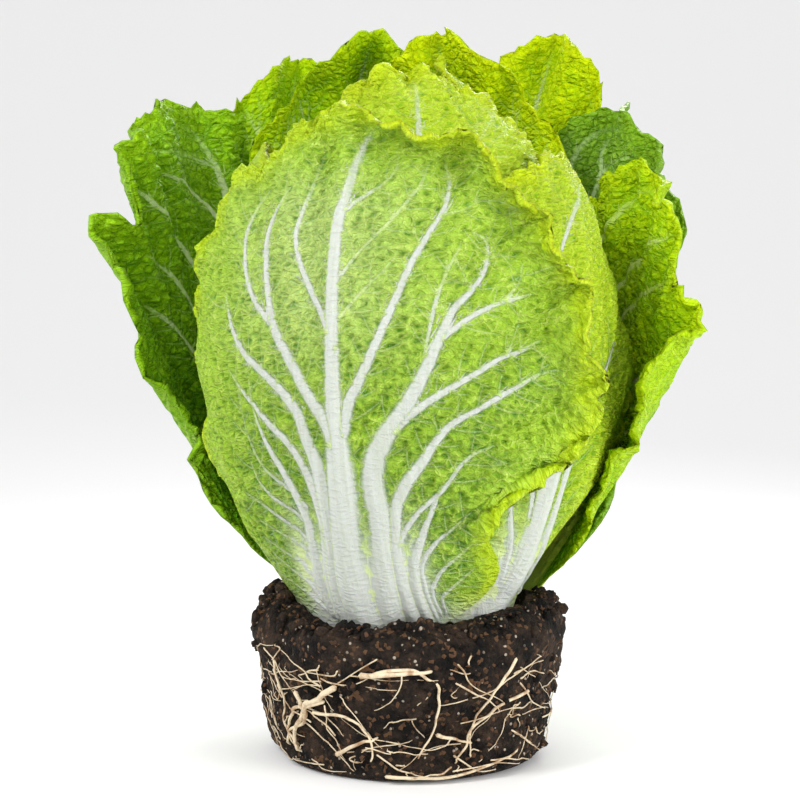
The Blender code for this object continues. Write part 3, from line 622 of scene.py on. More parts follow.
def rib_field(across, along, ribs):
    """For each point of the blade: the height of the ribs there, how white they are, the distance from the
    edge of the nearest, the seam, which is how much farther the next one is, the place beside the nearest in
    half widths, below zero to its left, and how bold it is. A rib narrower than the grid's own pitch is
    drawn wider and fainter."""
    pitch = np.maximum(*(np.hypot(np.gradient(across, axis=k), np.gradient(along, axis=k)) for k in (0, 1)))
    pitch = 0.62 * pitch.ravel()
    x, y = across.ravel(), along.ravel()
    height, white = np.zeros_like(x), np.zeros_like(x)
    nearest, second = np.full_like(x, RIB_REACH), np.full_like(x, 2 * RIB_REACH)
    beside, bold = np.full_like(x, 99.0), np.zeros_like(x)
    for rib in ribs:
        low, high = rib[:, :2].min(0) - RIB_REACH, rib[:, :2].max(0) + RIB_REACH
        near = np.flatnonzero((x > low[0]) & (x < high[0]) & (y > low[1]) & (y < high[1]))
        px, py = x[near], y[near]
        far, half, hand = np.full_like(px, 9.0), np.full_like(px, 1e-4), np.ones_like(px)
        for start, end in zip(rib[:-1], rib[1:]):
            step = end - start
            size = math.hypot(step[0], step[1])
            if size < 1e-6:
                continue
            u = np.clip(((px - start[0]) * step[0] + (py - start[1]) * step[1]) / size**2, 0, 1)
            away = np.hypot(px - start[0] - u * step[0], py - start[1] - u * step[1])
            closer = away < far
            turn = step[0] * (py - start[1]) - step[1] * (px - start[0])
            hand = np.where(closer, np.where(turn > 0, -1.0, 1.0), hand)
            far = np.where(closer, away, far)
            half = np.where(closer, start[2] + u * step[2], half)
        half = np.maximum(half, 3e-4)
        shown = np.maximum(half, pitch[near])
        ridge = RIDGE * half**0.8 * 0.0045**0.2 * np.exp(-((far / shown) ** 2)) * (half / shown) ** 0.5
        height[near] = np.maximum(height[near], ridge)
        strength = smooth(1.5, 0.5, far / shown) * np.minimum(1, half / shown) ** 0.5
        white[near] = np.maximum(white[near], strength * smooth(0.0004, 0.0014, half))
        rim = far - half
        closer = rim < nearest[near]
        second[near] = np.where(closer, nearest[near], np.minimum(second[near], rim))
        nearest[near] = np.where(closer, rim, nearest[near])
        beside[near] = np.where(closer, hand * far / half, beside[near])
        bold[near] = np.where(closer, smooth(0.0004, 0.0012, half), bold[near])
    fields = {"height": height, "white": white, "nearest": nearest, "seam": second - nearest,
              "beside": beside, "bold": bold}
    return {name: field.reshape(across.shape) for name, field in fields.items()}


@dataclass(frozen=True)
class Look:
    """How a leaf is dressed: its dense grid, the side that is seen, its ribs, cells and margin."""

    rows: int
    columns: int
    side: int = OUTER
    finish: str = "head"
    seen: tuple = ()  # its ribs in the picture
    crowding: float = 1.0  # below 1 crowds the rows towards the margin
    cell: float = 0.0050  # size of the cells between the veins
    puff: float = 0.0007  # how far they stand out or in
    ruffle: tuple = (0.0015, 0.0040, 0.0015)  # the small waves of the margin, by side
    ruffle_length: float = 0.018
    teeth: float = 0.030  # how deep the margin is cut, as a share of the way to it
    rib_width: float = 1.0


LOOKS = {
    "leaf_front": Look(200, 380, seen=FRONT_RIBS, crowding=0.95, cell=0.0062, puff=0.0021,
                       ruffle=(0.0062, 0.0040, 0.0068), ruffle_length=0.020, teeth=0.045),
    "leaf_right": Look(110, 200, finish="tips", seen=RIGHT_RIBS, puff=0.0018,
                       ruffle=(0.0005, 0.0020, 0.0085), teeth=0.05),
    "leaf_left": Look(50, 110),
    "leaf_right_back": Look(44, 90),
    "leaf_inner_front": Look(100, 200, finish="tips", crowding=0.6, cell=0.0060, puff=0.0020,
                             ruffle=(0.0020, 0.0050, 0.0020)),
    "leaf_inner_right": Look(80, 160, finish="tips", crowding=0.6, puff=0.0016,
                             ruffle=(0.0015, 0.0035, 0.0015)),
    "leaf_inner_left": Look(80, 160, INNER, "tips", crowding=0.6, puff=0.0016,
                            ruffle=(0.0015, 0.0035, 0.0015)),
    "leaf_back_left": Look(90, 170, INNER, "young", crowding=0.6, cell=0.0065, puff=0.0018,
                           ruffle_length=0.024, rib_width=1.2),
    "leaf_back_right": Look(90, 170, INNER, "yellow", crowding=0.6, cell=0.0065, puff=0.0018,
                            ruffle_length=0.024, rib_width=1.2),
    "leaf_open_left": Look(140, 240, INNER, "dark", LEFT_OPEN_RIBS, crowding=0.7, cell=0.0075, puff=0.0024,
                           ruffle=(0.0030, 0.0040, 0.0050), teeth=0.045, rib_width=1.15),
    "leaf_open_back_left": Look(100, 190, INNER, "mid", crowding=0.6, cell=0.0075, puff=0.0020,
                                rib_width=1.2),
    "leaf_open_back_right": Look(100, 190, INNER, "yellow", crowding=0.6, cell=0.0075, puff=0.0020,
                                 rib_width=1.2),
    "leaf_open_right_high": Look(120, 210, INNER, "blue", RIGHT_HIGH_RIBS, crowding=0.7, cell=0.0070,
                                 puff=0.0024, ruffle=(0.0020, 0.0030, 0.0010), rib_width=1.25),
    "leaf_open_right_low": Look(140, 240, INNER, "green", RIGHT_LOW_RIBS, crowding=0.8, cell=0.0075,
                                puff=0.0024, ruffle=(0.0050, 0.0040, 0.0030), teeth=0.045, rib_width=1.15),
}


def even(number):
    """The next even whole number at this run's level of detail."""
    return 2 * round(number * DETAIL / 2)


def frilled(leaf, look, s, q, seed):
    """(across, along, middle surface, its normals, length from foot to margin) of the blade with its teeth
    and ruffles. The teeth are noise along the margin that shortens s near it. The ruffle is a sum of ever
    shorter noise waves along the normal, each stronger towards the margin."""
    edge_across, edge_along = edge(leaf, q)
    steps = np.hypot(np.diff(edge_across[0]), np.diff(edge_along[0]))
    round_margin = np.concatenate([[0], np.cumsum(steps)])[None, :]
    line = np.hypot(edge_across, edge_along)
    upper = smooth(0.10, 0.35, edge_along / rib_table(leaf)[0])
    bite = sum(share * np.abs(ripple(round_margin / size, seed + k)) for k, (share, size) in enumerate(TEETH))
    s_cut = s * (1 - look.teeth * bite * upper * smooth(0.86, 1.0, s))
    middle = shaped(leaf, s_cut, q)
    wave = 0
    for k, (share, band) in enumerate(RUFFLES):
        along_margin = round_margin / (look.ruffle_length * share) + s * 1.5
        wave = wave + share**0.6 * ripple(along_margin, seed + 5 + k) * smooth(1 - band / line, 1.0, s)
    size = by_side(leaf, look.ruffle, q, 0.05)
    middle = middle + grid_normals(middle) * (size * wave)[..., None]
    return (*spread_flat(leaf, s_cut, q), middle, grid_normals(middle), line)


def near_margin(field, reach, short):
    """A field of ribs that sink before the margin, with how clear their paint is."""
    field["height"] = field["height"] * short
    field["white"] = field["white"] * short
    shown = smooth(*SEAM, field["seam"]) * smooth(*reach, field["nearest"])
    field["clear"] = shown * (FAINTEST + (1 - FAINTEST) * field["bold"]) * short
    return field


def closed_sheet(dense, thin, side):
    """(points, triangles) of a closed leaf from the grids of its two sides. Its rim joins one edge of the
    coarse grid to two of the dense one."""

    def loop(grid):
        """The grid's edge, once round."""
        return np.concatenate([grid[0], grid[1:, -1], grid[-1, -2::-1], grid[-2:0:-1, 0]])

    fine = np.arange(dense.shape[0] * dense.shape[1]).reshape(dense.shape[:2])
    coarse = fine.size + np.arange(thin.shape[0] * thin.shape[1]).reshape(thin.shape[:2])
    many, few = loop(fine), loop(coarse)
    before, between, after = many[::2], many[1::2], np.roll(many[::2], -1)
    ahead = np.roll(few, -1)
    rim = [np.stack(t, 1) for t in ((between, before, few), (between, few, ahead), (after, between, ahead))]
    faces = np.concatenate([split(fine), split(coarse)[:, ::-1], *rim])
    points = np.concatenate([dense.reshape(-1, 3), thin.reshape(-1, 3)])
    return points, faces if side == OUTER else faces[:, ::-1]


def skin_values(leaf, look, across, share, to_margin, cell, seen, back):
    """The vertex values that a leaf's material reads, first on the dense grid, then on the other."""
    fan = smooth(1.45, 0.95, np.abs(across) / (1.15 * leaf.foot)) * smooth(*MIDRIB_FAN, share)
    # A painted sheen on the middle of the front leaf
    milk = np.exp(-(((across - SHEEN_ACROSS) / SHEEN_WIDE) ** 2)) * (leaf.name == "leaf_front")
    values = {
        "white": np.maximum((0.8 if look.finish == "head" else 0.3) * seen["white"], fan),
        "cell": cell,
        "margin": np.exp(-(to_margin + 0 * across) / MARGIN),
        "share": share,
        # painted shade in the creases beside the ribs, fading upwards
        "crease_shade": np.exp(-np.maximum(seen["nearest"], 0) / CREASE_SHADE_REACH) * smooth(0.75, 0.25, share),
        "outer": np.full(across.shape, float(look.side == OUTER)),
        "beside": seen["beside"],
        "clear": seen["clear"],
        "milk": milk * smooth(*SHEEN_FROM, share) * smooth(*SHEEN_TO, share),
    }
    other = {name: value[::2, ::2] for name, value in values.items()}
    other.update(outer=1 - other["outer"], white=0.3 * back["white"], milk=0 * other["milk"])
    other.update(beside=back["beside"], clear=back["clear"])
    return {name: np.concatenate([values[name].ravel(), other[name].ravel()]) for name in values}


def dressed_leaf(leaf, look, seed):
    """(points, triangles, values, flattened places) of a dressed leaf. The seen side has a dense grid with
    ribs and cells, and the other every second row and column of it."""
    rows, columns = even(look.rows), even(look.columns)
    s = (np.linspace(0, 1, rows + 1) ** look.crowding)[:, None]
    s[0] = 2 * DIFFERENCE
    q = np.linspace(-1, 1, columns + 1)[None, :]
    across, along, middle, normal, line = frilled(leaf, look, s, q, seed)
    length = rib_table(leaf)[0]
    share = np.clip(along / length, 0, 1)

    grown = [midrib_line(leaf, look.rib_width), *grown_ribs(leaf, seed, look.rib_width)]
    ribs = laid_on(leaf, look.seen, look.side, look.rib_width) if look.seen else grown
    ribs = ribs + twigs(ribs, seed + 3)
    short = smooth(*RIM_FREE, s)
    seen = near_margin(rib_field(across, along, ribs), PAINT_SEEN, short)
    back = rib_field(across[::2, ::2], along[::2, ::2], grown)
    back = near_margin(back, PAINT_BACK, short[::2])

    depth = cells(across / look.cell, along / look.cell, seed + 20)
    blister = smooth(0.02, 0.50, depth) * smooth(-0.0002, 0.0016, seen["seam"])
    fade = smooth(0.0, 0.003, seen["nearest"]) * smooth(0.10, 0.28, along / length)
    swelling = look.puff * blister * fade
    wide = leaf.foot * 0.85 * (1 - share) ** 1.2 + RIB_HALF_WIDTH_TIP
    high = leaf.rib_height * (1 - share) ** 1.1 + RIB_HEIGHT_TIP
    broad = high * np.exp(-((across / wide) ** 2)) * (0.2 + 0.8 * short)
    if look.side == OUTER:
        out = BLADE / 2 + broad * 0.8 + seen["height"] + look.puff * (1 - blister) * fade
        back_out = -(BLADE / 2 + 0.5 * swelling)[::2, ::2]
    else:
        out = -(BLADE / 2 + 0.5 * seen["height"] + swelling)
        back_out = (BLADE / 2 + broad + 0.6 * swelling)[::2, ::2] + back["height"]
    dense = middle + normal * out[..., None]
    thin = middle[::2, ::2] + normal[::2, ::2] * back_out[..., None]
    values = skin_values(leaf, look, across, share, (1 - s) * line, blister * fade + (1 - fade), seen, back)
    flat = np.stack([across, along], -1)
    flat = np.concatenate([flat.reshape(-1, 2), flat[::2, ::2].reshape(-1, 2)])
    return (*closed_sheet(dense, thin, look.side), values, flat)


def piece(name, points, faces, material, values=None, flat=None):
    """A smooth-shaded object from whole arrays, with its vertex values and its flattened places."""
    mesh = bpy.data.meshes.new(name)
    mesh.vertices.add(len(points))
    mesh.vertices.foreach_set("co", points.astype(np.float32).ravel())
    mesh.loops.add(faces.size)
    mesh.loops.foreach_set("vertex_index", faces.astype(np.int32).ravel())
    mesh.polygons.add(len(faces))
    mesh.polygons.foreach_set("loop_start", np.arange(0, faces.size, 3, dtype=np.int32))
    mesh.update(calc_edges=True)
    for key, value in (values or {}).items():
        mesh.attributes.new(key, "FLOAT", "POINT").data.foreach_set("value", value.astype(np.float32))
    if flat is not None:
        layer = mesh.uv_layers.new(name="flattened")
        layer.data.foreach_set("uv", flat[faces.ravel()].astype(np.float32).ravel())
    mesh.materials.append(material)
    mesh.shade_smooth()
    obj = bpy.data.objects.new(name, mesh)
    bpy.context.scene.collection.objects.link(obj)
    return obj


def ball_radius(height):
    """Radius of the soil ball's side, which widens from its foot to its top."""
    return BALL_FOOT_RADIUS + (BALL_TOP_RADIUS - BALL_FOOT_RADIUS) * height / BALL_HEIGHT


def soil_rim_rise(azimuth):
    """How much higher the rim of the soil is heaped at the sides than in front."""
    return 0.0075 * smooth(0.45, 1.0, np.abs(np.sin(azimuth))) + 0.0015 * np.sin(3 * azimuth + 0.5)


def soil_surface(azimuth, run):
    """Points of the soil's skin. Run goes up its profile: 0 is the middle of the underside, 1 the edge of
    the foot, 2 the rim, 3 the hollow's edge and 4 its middle. Crumbs of three sizes stand out of it."""
    knots, radii, heights = np.transpose((
        (0.00, 0.0, 0.0),
        (0.96, BALL_FOOT_RADIUS - BALL_EDGE, 0.0),
        (1.00, BALL_FOOT_RADIUS - 0.001, 0.0008),
        (1.06, ball_radius(BALL_EDGE), BALL_EDGE),
        (1.88, ball_radius(SHOULDER), SHOULDER),
        (1.97, BALL_TOP_RADIUS - 0.003, BALL_HEIGHT - 0.003),
        (2.20, POCKET_RADIUS - 0.001, BALL_HEIGHT - 0.001),
        (2.70, POCKET_RADIUS - 0.013, BALL_HEIGHT + 0.001),
        (3.00, POCKET_RADIUS - 0.020, POCKET_FLOOR + 0.001),
        (4.00, 0.0, POCKET_FLOOR),
    ))
    radius, height = np.interp(run, knots, radii), np.interp(run, knots, heights)
    heap = soil_rim_rise(azimuth) * smooth(1.80, 2.25, run) * smooth(3.0, 2.7, run)
    base = round_the_axis(azimuth, radius, height + heap)
    out = round_the_axis(azimuth, smooth(2.2, 1.85, run), smooth(1.80, 2.1, run))
    rough = 0.0042 * clouds(base, 0.024, 31)
    for deep, size, seed in ((0.0040, 0.0105, 32), (0.0024, 0.0050, 33), (0.0014, 0.0027, 34)):
        rough = rough + deep * crumble(base, size, seed)
    rough = rough - 0.0040
    lively = smooth(0.97, 1.10, run) * smooth(3.2, 2.8, run)
    return base + out * (rough * lively)[..., None]


def soil_body():
    """(points, triangles) of the closed soil ball."""
    turns = even(400)
    azimuth = np.linspace(0, 2 * math.pi, turns, endpoint=False)[None, :]
    side, rim = np.linspace(0.96, 2.0, even(76)), np.linspace(2.02, 2.8, even(26))
    run = np.concatenate([[0.5, 0.9], side, rim, [3.0, 3.5]])
    points = soil_surface(azimuth, run[:, None] + 0 * azimuth)
    number = np.arange(points.shape[0] * turns).reshape(-1, turns)
    joined = np.concatenate([number, number[:, :1]], axis=1)
    low, high = number.size, number.size + 1
    ends = [
        np.stack([joined[0, 1:], joined[0, :-1], np.full(turns, low)], 1),
        np.stack([joined[-1, :-1], joined[-1, 1:], np.full(turns, high)], 1),
    ]
    poles = [[0, 0, 0], [0, 0, POCKET_FLOOR]]
    return np.concatenate([points.reshape(-1, 3), poles]), np.concatenate([split(joined), *ends])


def lump_shape():
    """(points, triangles) of a ball of 42 points: an icosahedron's corners and the middles of its edges."""
    golden = (1 + 5**0.5) / 2
    signs = [np.array(corner) * 2 - 1 for corner in np.ndindex(2, 2, 2)]
    shapes = ((0, 1, golden), (1, golden, 0), (golden, 0, 1))
    corners = np.array([sign * shape for shape in shapes for sign in signs])
    corners = np.unique(corners.round(6) + 0.0, axis=0)
    gap = np.linalg.norm(corners[:, None] - corners[None], axis=-1)
    near = (gap > 0.1) & (gap < 2.1)
    faces = [(a, b, c) for a in range(12) for b in range(a + 1, 12) for c in range(b + 1, 12)
             if near[a, b] and near[b, c] and near[a, c]]
    faces = [f if np.linalg.det(corners[list(f)]) > 0 else f[::-1] for f in faces]
    points = [tuple(p) for p in corners / np.linalg.norm(corners[0])]
    middles, small = {}, []
    for face in faces:
        ring = []
        for a, b in zip(face, face[1:] + face[:1]):
            key = (min(a, b), max(a, b))
            if key not in middles:
                middle = np.array(points[a]) + points[b]
                middles[key] = len(points)
                points.append(tuple(middle / np.linalg.norm(middle)))
            ring.append(middles[key])
        small += [(face[k], ring[k], ring[k - 1]) for k in range(3)]
        small.append(tuple(ring))
    return np.array(points), np.array(small)


def crumbs(count, seed):
    """(points, triangles) of loose crumbs on the soil, most of them along its rim."""
    draw = np.random.default_rng(seed)
    ball, faces = lump_shape()
    azimuth = draw.uniform(0, 2 * math.pi, count)
    by_rim = draw.uniform(size=count) < 0.62
    run = np.where(by_rim, draw.uniform(1.93, 2.45, count), draw.uniform(1.1, 1.95, count))
    size = 0.0009 + 0.0030 * draw.uniform(size=count) ** 3
    centre = soil_surface(azimuth, run)
    centre[:, 2] += np.where(run > 1.9, size * 0.3, 0)
    shape = ball[None] * draw.uniform(0.75, 1.25, (count, 1, 3))
    shape = shape * (1 + 0.22 * draw.uniform(-1, 1, (count, len(ball), 1)))
    points = centre[:, None] + shape * size[:, None, None]
    offset = np.arange(count)[:, None, None] * len(ball)
    return points.reshape(-1, 3), (faces[None] + offset).reshape(-1, 3)


def tube(path, girth, sides):
    """(points, triangles) of a round tube along a path, closed by a point at each end."""
    ahead = np.gradient(path, axis=0)
    ahead = ahead / np.linalg.norm(ahead, axis=1, keepdims=True)
    away = path * (1, 1, 0) + (0, 0, 1e-4)
    away = away - ahead * (away * ahead).sum(1, keepdims=True)
    away = away / np.linalg.norm(away, axis=1, keepdims=True)
    beside = np.cross(ahead, away)
    angle = np.linspace(0, 2 * math.pi, sides, endpoint=False)
    cosine, sine = np.cos(angle)[None, :, None], np.sin(angle)[None, :, None]
    circle = away[:, None] * cosine + beside[:, None] * sine
    points = (path[:, None] + circle * girth[:, None, None]).reshape(-1, 3)
    number = np.arange(len(points)).reshape(-1, sides)
    joined = np.concatenate([number, number[:, :1]], axis=1)
    faces = [split(joined)]
    faces.append(np.stack([joined[0, 1:], joined[0, :-1], np.full(sides, len(points))], 1))
    faces.append(np.stack([joined[-1, :-1], joined[-1, 1:], np.full(sides, len(points) + 1)], 1))
    ends = [path[0] - ahead[0] * girth[0], path[-1] + ahead[-1] * girth[-1]]
    return np.concatenate([points, ends]), np.concatenate(faces)


def gathered(solids):
    """(points, triangles) of several solids as one."""
    points, faces, count = [], [], 0
    for some_points, some_faces in solids:
        points.append(some_points)
        faces.append(some_faces + count)
        count += len(some_points)
    return np.concatenate(points), np.concatenate(faces)


# Thick roots: (azimuth, height) knots down the side of the soil, and the girth at their start
THICK_ROOTS = (
    (((-28, 0.0480), (-38, 0.0400), (-47, 0.0290), (-53, 0.0160), (-50, 0.0090)), 0.0016),
    (((-46, 0.0430), (-43, 0.0330), (-49, 0.0240), (-55, 0.0200), (-60, 0.0100)), 0.0013),
    (((-34, 0.0400), (-44, 0.0360), (-52, 0.0300), (-56, 0.0210), (-52, 0.0120)), 0.0012),
    (((-14, 0.0570), (-2, 0.0600), (8, 0.0540), (11, 0.0420), (8, 0.0270), (3, 0.0100)), 0.0010),
    (((-16, 0.0560), (-5, 0.0575), (8, 0.0590)), 0.0016),
    (((-39, 0.0330), (-27, 0.0345), (-18, 0.0290), (-14, 0.0180), (-16, 0.0090)), 0.0009),
    (((-60, 0.0560), (-56, 0.0400), (-58, 0.0240), (-55, 0.0100)), 0.0008),
    (((49, 0.0430), (36, 0.0390), (26, 0.0290), (21, 0.0160), (18, 0.0090)), 0.0009),
    (((40, 0.0620), (30, 0.0440), (24, 0.0300), (25, 0.0100)), 0.0008),
    (((-29, 0.0130), (-20, 0.0200), (-11, 0.0240)), 0.0012),
    (((10, 0.0250), (16, 0.0235), (26, 0.0190)), 0.0011),
    (((-10, 0.0040), (8, 0.0035), (30, 0.0060), (52, 0.0140)), 0.0010),
)


def crumbly_radius(azimuth, height):
    """How far the soil's crumbly side is from the axis."""
    run = np.interp(height, (0.0008, BALL_EDGE, SHOULDER), (1.0, 1.06, 1.88))
    place = soil_surface(azimuth, run)
    return np.hypot(place[..., 0], place[..., 1])


def root_solid(knots, girth, seed, lift=0.0006, sides=7):
    """A tapering root over the soil's side, a little crooked, that stands off it by lift."""
    knots = np.array(knots, float)
    chord = np.arange(len(knots))
    fine = np.linspace(0, chord[-1], max(10, 9 * chord[-1]))
    azimuth = np.radians(through(np.stack([chord, knots[:, 0]], 1), fine) + 1.1 * ripple(fine * 2.6, seed))
    height = through(np.stack([chord, knots[:, 1]], 1), fine) + 0.0007 * ripple(fine * 2.3, seed + 1)
    share = fine / chord[-1]
    soil = 0.6 * crumbly_radius(azimuth, height) + 0.4 * (ball_radius(height) + 0.0030)
    out = soil + lift + girth * 0.6 - 0.0035 * smooth(0.90, 1.0, share)
    path = round_the_axis(azimuth, out, np.maximum(height, 0.0022))
    thick = girth * (1 - 0.55 * share) * (1 + 0.10 * ripple(fine * 5, seed + 2))
    return tube(path, thick, sides)


def hair_roots(count, seed):
    """Fine roots that wander over the soil's side in long low curves."""
    draw = np.random.default_rng(seed)
    for k in range(count):
        azimuth, height = draw.uniform(0, 360), draw.uniform(0.006, 0.064)
        turn, drop = draw.uniform(-34, 34), draw.uniform(-0.030, 0.012)
        knots = []
        for u in (0, 0.5, 1):
            place = azimuth + turn * u + draw.uniform(-4, 4)
            level = height + drop * u + draw.uniform(-0.004, 0.004)
            knots.append((place, float(np.clip(level, 0.004, 0.067))))
        girth, lift = draw.uniform(0.00028, 0.00056), draw.uniform(-0.0004, 0.0016)
        yield root_solid(knots, girth, seed + 3 * k, lift, sides=4)


def srgb(red, green, blue):
    """A colour given in steps of 255 as the linear values that a shader takes."""
    steps = np.array([red, green, blue]) / 255
    linear = np.where(steps <= 0.04045, steps / 12.92, ((steps + 0.055) / 1.055) ** 2.4)
    return (*(float(v) for v in linear), 1.0)


class Tree:
    """A material's nodes, with short calls to add and join them."""

    def __init__(self, name):
        self.material = bpy.data.materials.new(name)
        self.material.use_nodes = True
        self.nodes = self.material.node_tree.nodes
        self.links = self.material.node_tree.links
        self.shader = self.nodes["Principled BSDF"]

    def node(self, kind, inputs=(), **settings):
        """A node with those settings; an input is a value or another node's output."""
        made = self.nodes.new("ShaderNode" + kind)
        for key, value in settings.items():
            setattr(made, key, value)
        for key, value in dict(inputs).items():
            self.set(made, key, value)
        return made

    def set(self, node, key, value):
        """Sets or links one input."""
        if isinstance(value, bpy.types.NodeSocket):
            self.links.new(value, node.inputs[key])
        else:
            node.inputs[key].default_value = value

    def value(self, name):
        """A vertex value of the mesh."""
        return self.node("Attribute", attribute_name=name).outputs["Fac"]

    def math(self, operation, *numbers):
        """One sum of two or three numbers."""
        return self.node("Math", dict(enumerate(numbers)), operation=operation).outputs[0]

    def step(self, value, low, high, start=0.0, end=1.0):
        """A smooth step from start to end as the value goes from low to high."""
        ranged = {"Value": value, "From Min": low, "From Max": high, "To Min": start, "To Max": end}
        return self.node("MapRange", ranged, interpolation_type="SMOOTHSTEP").outputs["Result"]

    def mix(self, factor, a, b):
        """Colour a turned into colour b by the factor."""
        return self.node("Mix", {0: factor, 6: a, 7: b}, data_type="RGBA").outputs[2]

    def noise(self, vector, scale, detail=2.0, rough=0.5):
        """Cloudy noise from 0 to 1."""
        made = self.node("TexNoise", {"Vector": vector, "Scale": scale, "Detail": detail, "Roughness": rough})
        return made.outputs["Fac"]

    def web(self, vector, scale):
        """Distance to the walls of random cells."""
        made = self.node("TexVoronoi", {"Vector": vector, "Scale": scale}, feature="DISTANCE_TO_EDGE")
        return made.outputs["Distance"]

    def stretched(self, vector, scale):
        """Places drawn together by a factor along each axis."""
        return self.node("Mapping", {"Vector": vector, "Scale": scale}).outputs[0]

    def painted(self, colour, roughness, gloss=0.5):
        """Sets the shader's colour, roughness and gloss."""
        self.set(self.shader, "Base Color", colour)
        self.shader.inputs["Roughness"].default_value = roughness
        self.shader.inputs["Specular IOR Level"].default_value = gloss

    def bumped(self, height, distance, strength=1.0):
        """Lets the light fall as if the surface stood out by that height times the distance."""
        bump = self.node("Bump", {"Strength": strength, "Distance": distance, "Height": height})
        self.set(self.shader, "Normal", bump.outputs[0])


@dataclass(frozen=True)
class Finish:
    """A leaf's colours, in steps of 255, and its gloss."""

    hollow: tuple  # between the veins, the darker end, with painted shade in the hollows
    crown: tuple  # where the blade is palest, with painted light where the skin stands out
    vein: tuple  # the fine net
    margin: tuple
    crease_shade: tuple  # painted shade beside the ribs, also used for the leaf's other painted shade
    rib: tuple = (192, 196, 190)
    margin_share: float = 0.45
    roughness: float = 0.46
    gloss: float = 0.22


FINISHES = {
    "head": Finish((62, 124, 2), (160, 202, 34), (204, 226, 112), (190, 218, 2), (58, 116, 1),
                   margin_share=0.85, gloss=0.34),
    "tips": Finish((104, 166, 2), (184, 216, 24), (208, 228, 90), (200, 222, 3), (84, 146, 1),
                   margin_share=0.80),
    "young": Finish((112, 184, 1), (186, 226, 6), (200, 226, 40), (196, 222, 2), (92, 164, 1), gloss=0.10),
    "yellow": Finish((156, 206, 1), (206, 232, 1), (212, 230, 24), (218, 232, 1), (124, 184, 1), gloss=0.10),
    "dark": Finish((84, 150, 2), (160, 216, 12), (196, 230, 84), (164, 212, 6), (62, 124, 1),
                   rib=(204, 226, 160)),
    "mid": Finish((122, 190, 1), (180, 222, 4), (200, 226, 40), (196, 224, 2), (92, 158, 1), gloss=0.10),
    "blue": Finish((72, 130, 4), (152, 198, 48), (188, 218, 104), (144, 194, 12), (52, 104, 2),
                   rib=(198, 222, 156), roughness=0.38, gloss=0.30),
    "green": Finish((124, 192, 2), (202, 238, 6), (214, 236, 50), (212, 236, 3), (92, 158, 1),
                    rib=(208, 230, 116), gloss=0.16),
}
HEAD_FINISHES = ("head", "tips")
PAINTED_SHEEN = (194, 220, 136)  # a painted sheen on the blade, in the middle of the front leaf
CURLED = (200, 216, 0)  # the inner side of the head's leaves, which shows where the margin rolls over
OLD_RIB = (168, 174, 156)  # streaks along the ribs
SOIL, DRY_SOIL, RED_GRAIN, PALE_GRAIN = (8, 6, 4), (70, 54, 42), (128, 92, 64), (190, 176, 158)
ROOT, ROOT_STAIN = (226, 208, 176), (160, 122, 84)
HEART, HEART_RIB = (214, 222, 110), (234, 234, 176)

# Patterns, in waves or cells to the metre, and how far a net's cells are drawn together along and across
NET, FINE_NET, WARP, PATCHES, STRENGTH, GRAIN = 270.0, 720.0, 120.0, 45.0, 70.0, 900.0
HEAD_NET, OPEN_NET = (0.62, 1.25, 1.0), (0.80, 0.88, 1.0)
WARPED = 0.0026  # how far the noise shifts the net
LEAF_BUMP, SOIL_BUMP, ROOT_BUMP, HEART_BUMP = 0.0019, 0.0018, 0.0005, 0.0015


def leaf_net(tree, place, outer, stretch):
    """How raised the skin is by the net of veins, the net's lines, and those of a finer one. The net is the
    walls between random cells, on places that noise has shifted a little."""
    warp = tree.node("TexNoise", {"Vector": place, "Scale": WARP, "Detail": 3.0}).outputs["Color"]
    warp = tree.node("VectorMath", {0: warp, 1: (0.5, 0.5, 0.5)}, operation="SUBTRACT").outputs[0]
    shift = tree.node("VectorMath", {0: warp, "Scale": WARPED}, operation="SCALE").outputs[0]
    shifted = tree.node("VectorMath", {0: place, 1: shift}, operation="ADD").outputs[0]
    wall = tree.web(tree.stretched(shifted, stretch), NET)
    rungs = tree.step(wall, 0.0, 0.12, 1.0, 0.0)
    fine_web = tree.step(tree.web(shifted, FINE_NET), 0.0, 0.25, 1.0, 0.0)

    # The walls stand out on the outer side and lie deep on the inner one
    raised = tree.math("SUBTRACT", outer, tree.step(wall, 0.0, 0.50, 1.0, 0.0))
    return tree.math("SUBTRACT", 1.0, tree.math("ABSOLUTE", raised)), rungs, fine_web


def leaf_blade(tree, finish, share, patches, raised):
    """The blade's colour from its hollows to its crowns, partly painted shade and light of the relief, with
    painted shade in the creases beside the ribs.
    """
    # How light the blade is: random patches, the cells' walls, the raised skin as painted light and shade of
    # the relief, and paler upwards
    height = tree.math("MULTIPLY_ADD", patches, 0.75, -0.46)
    low = tree.math("SUBTRACT", 1.0, tree.value("cell"))
    height = tree.math("ADD", height, tree.math("MULTIPLY", low, 0.40))
    height = tree.math("ADD", height, tree.math("MULTIPLY", raised, 0.66))
    height = tree.math("ADD", height, tree.step(share, 0.30, 0.75, 0.12, 0.28))
    # Painted sheen: the crown turns paler in the middle of the front leaf
    milky = tree.mix(tree.math("MULTIPLY", tree.value("milk"), 0.70), srgb(*finish.crown), srgb(*PAINTED_SHEEN))
    blade = tree.mix(tree.step(height, 0.0, 1.0), srgb(*finish.hollow), milky)
    # Painted shade in the creases beside the ribs
    return tree.mix(tree.math("MULTIPLY", tree.value("crease_shade"), 0.55), blade, srgb(*finish.crease_shade))


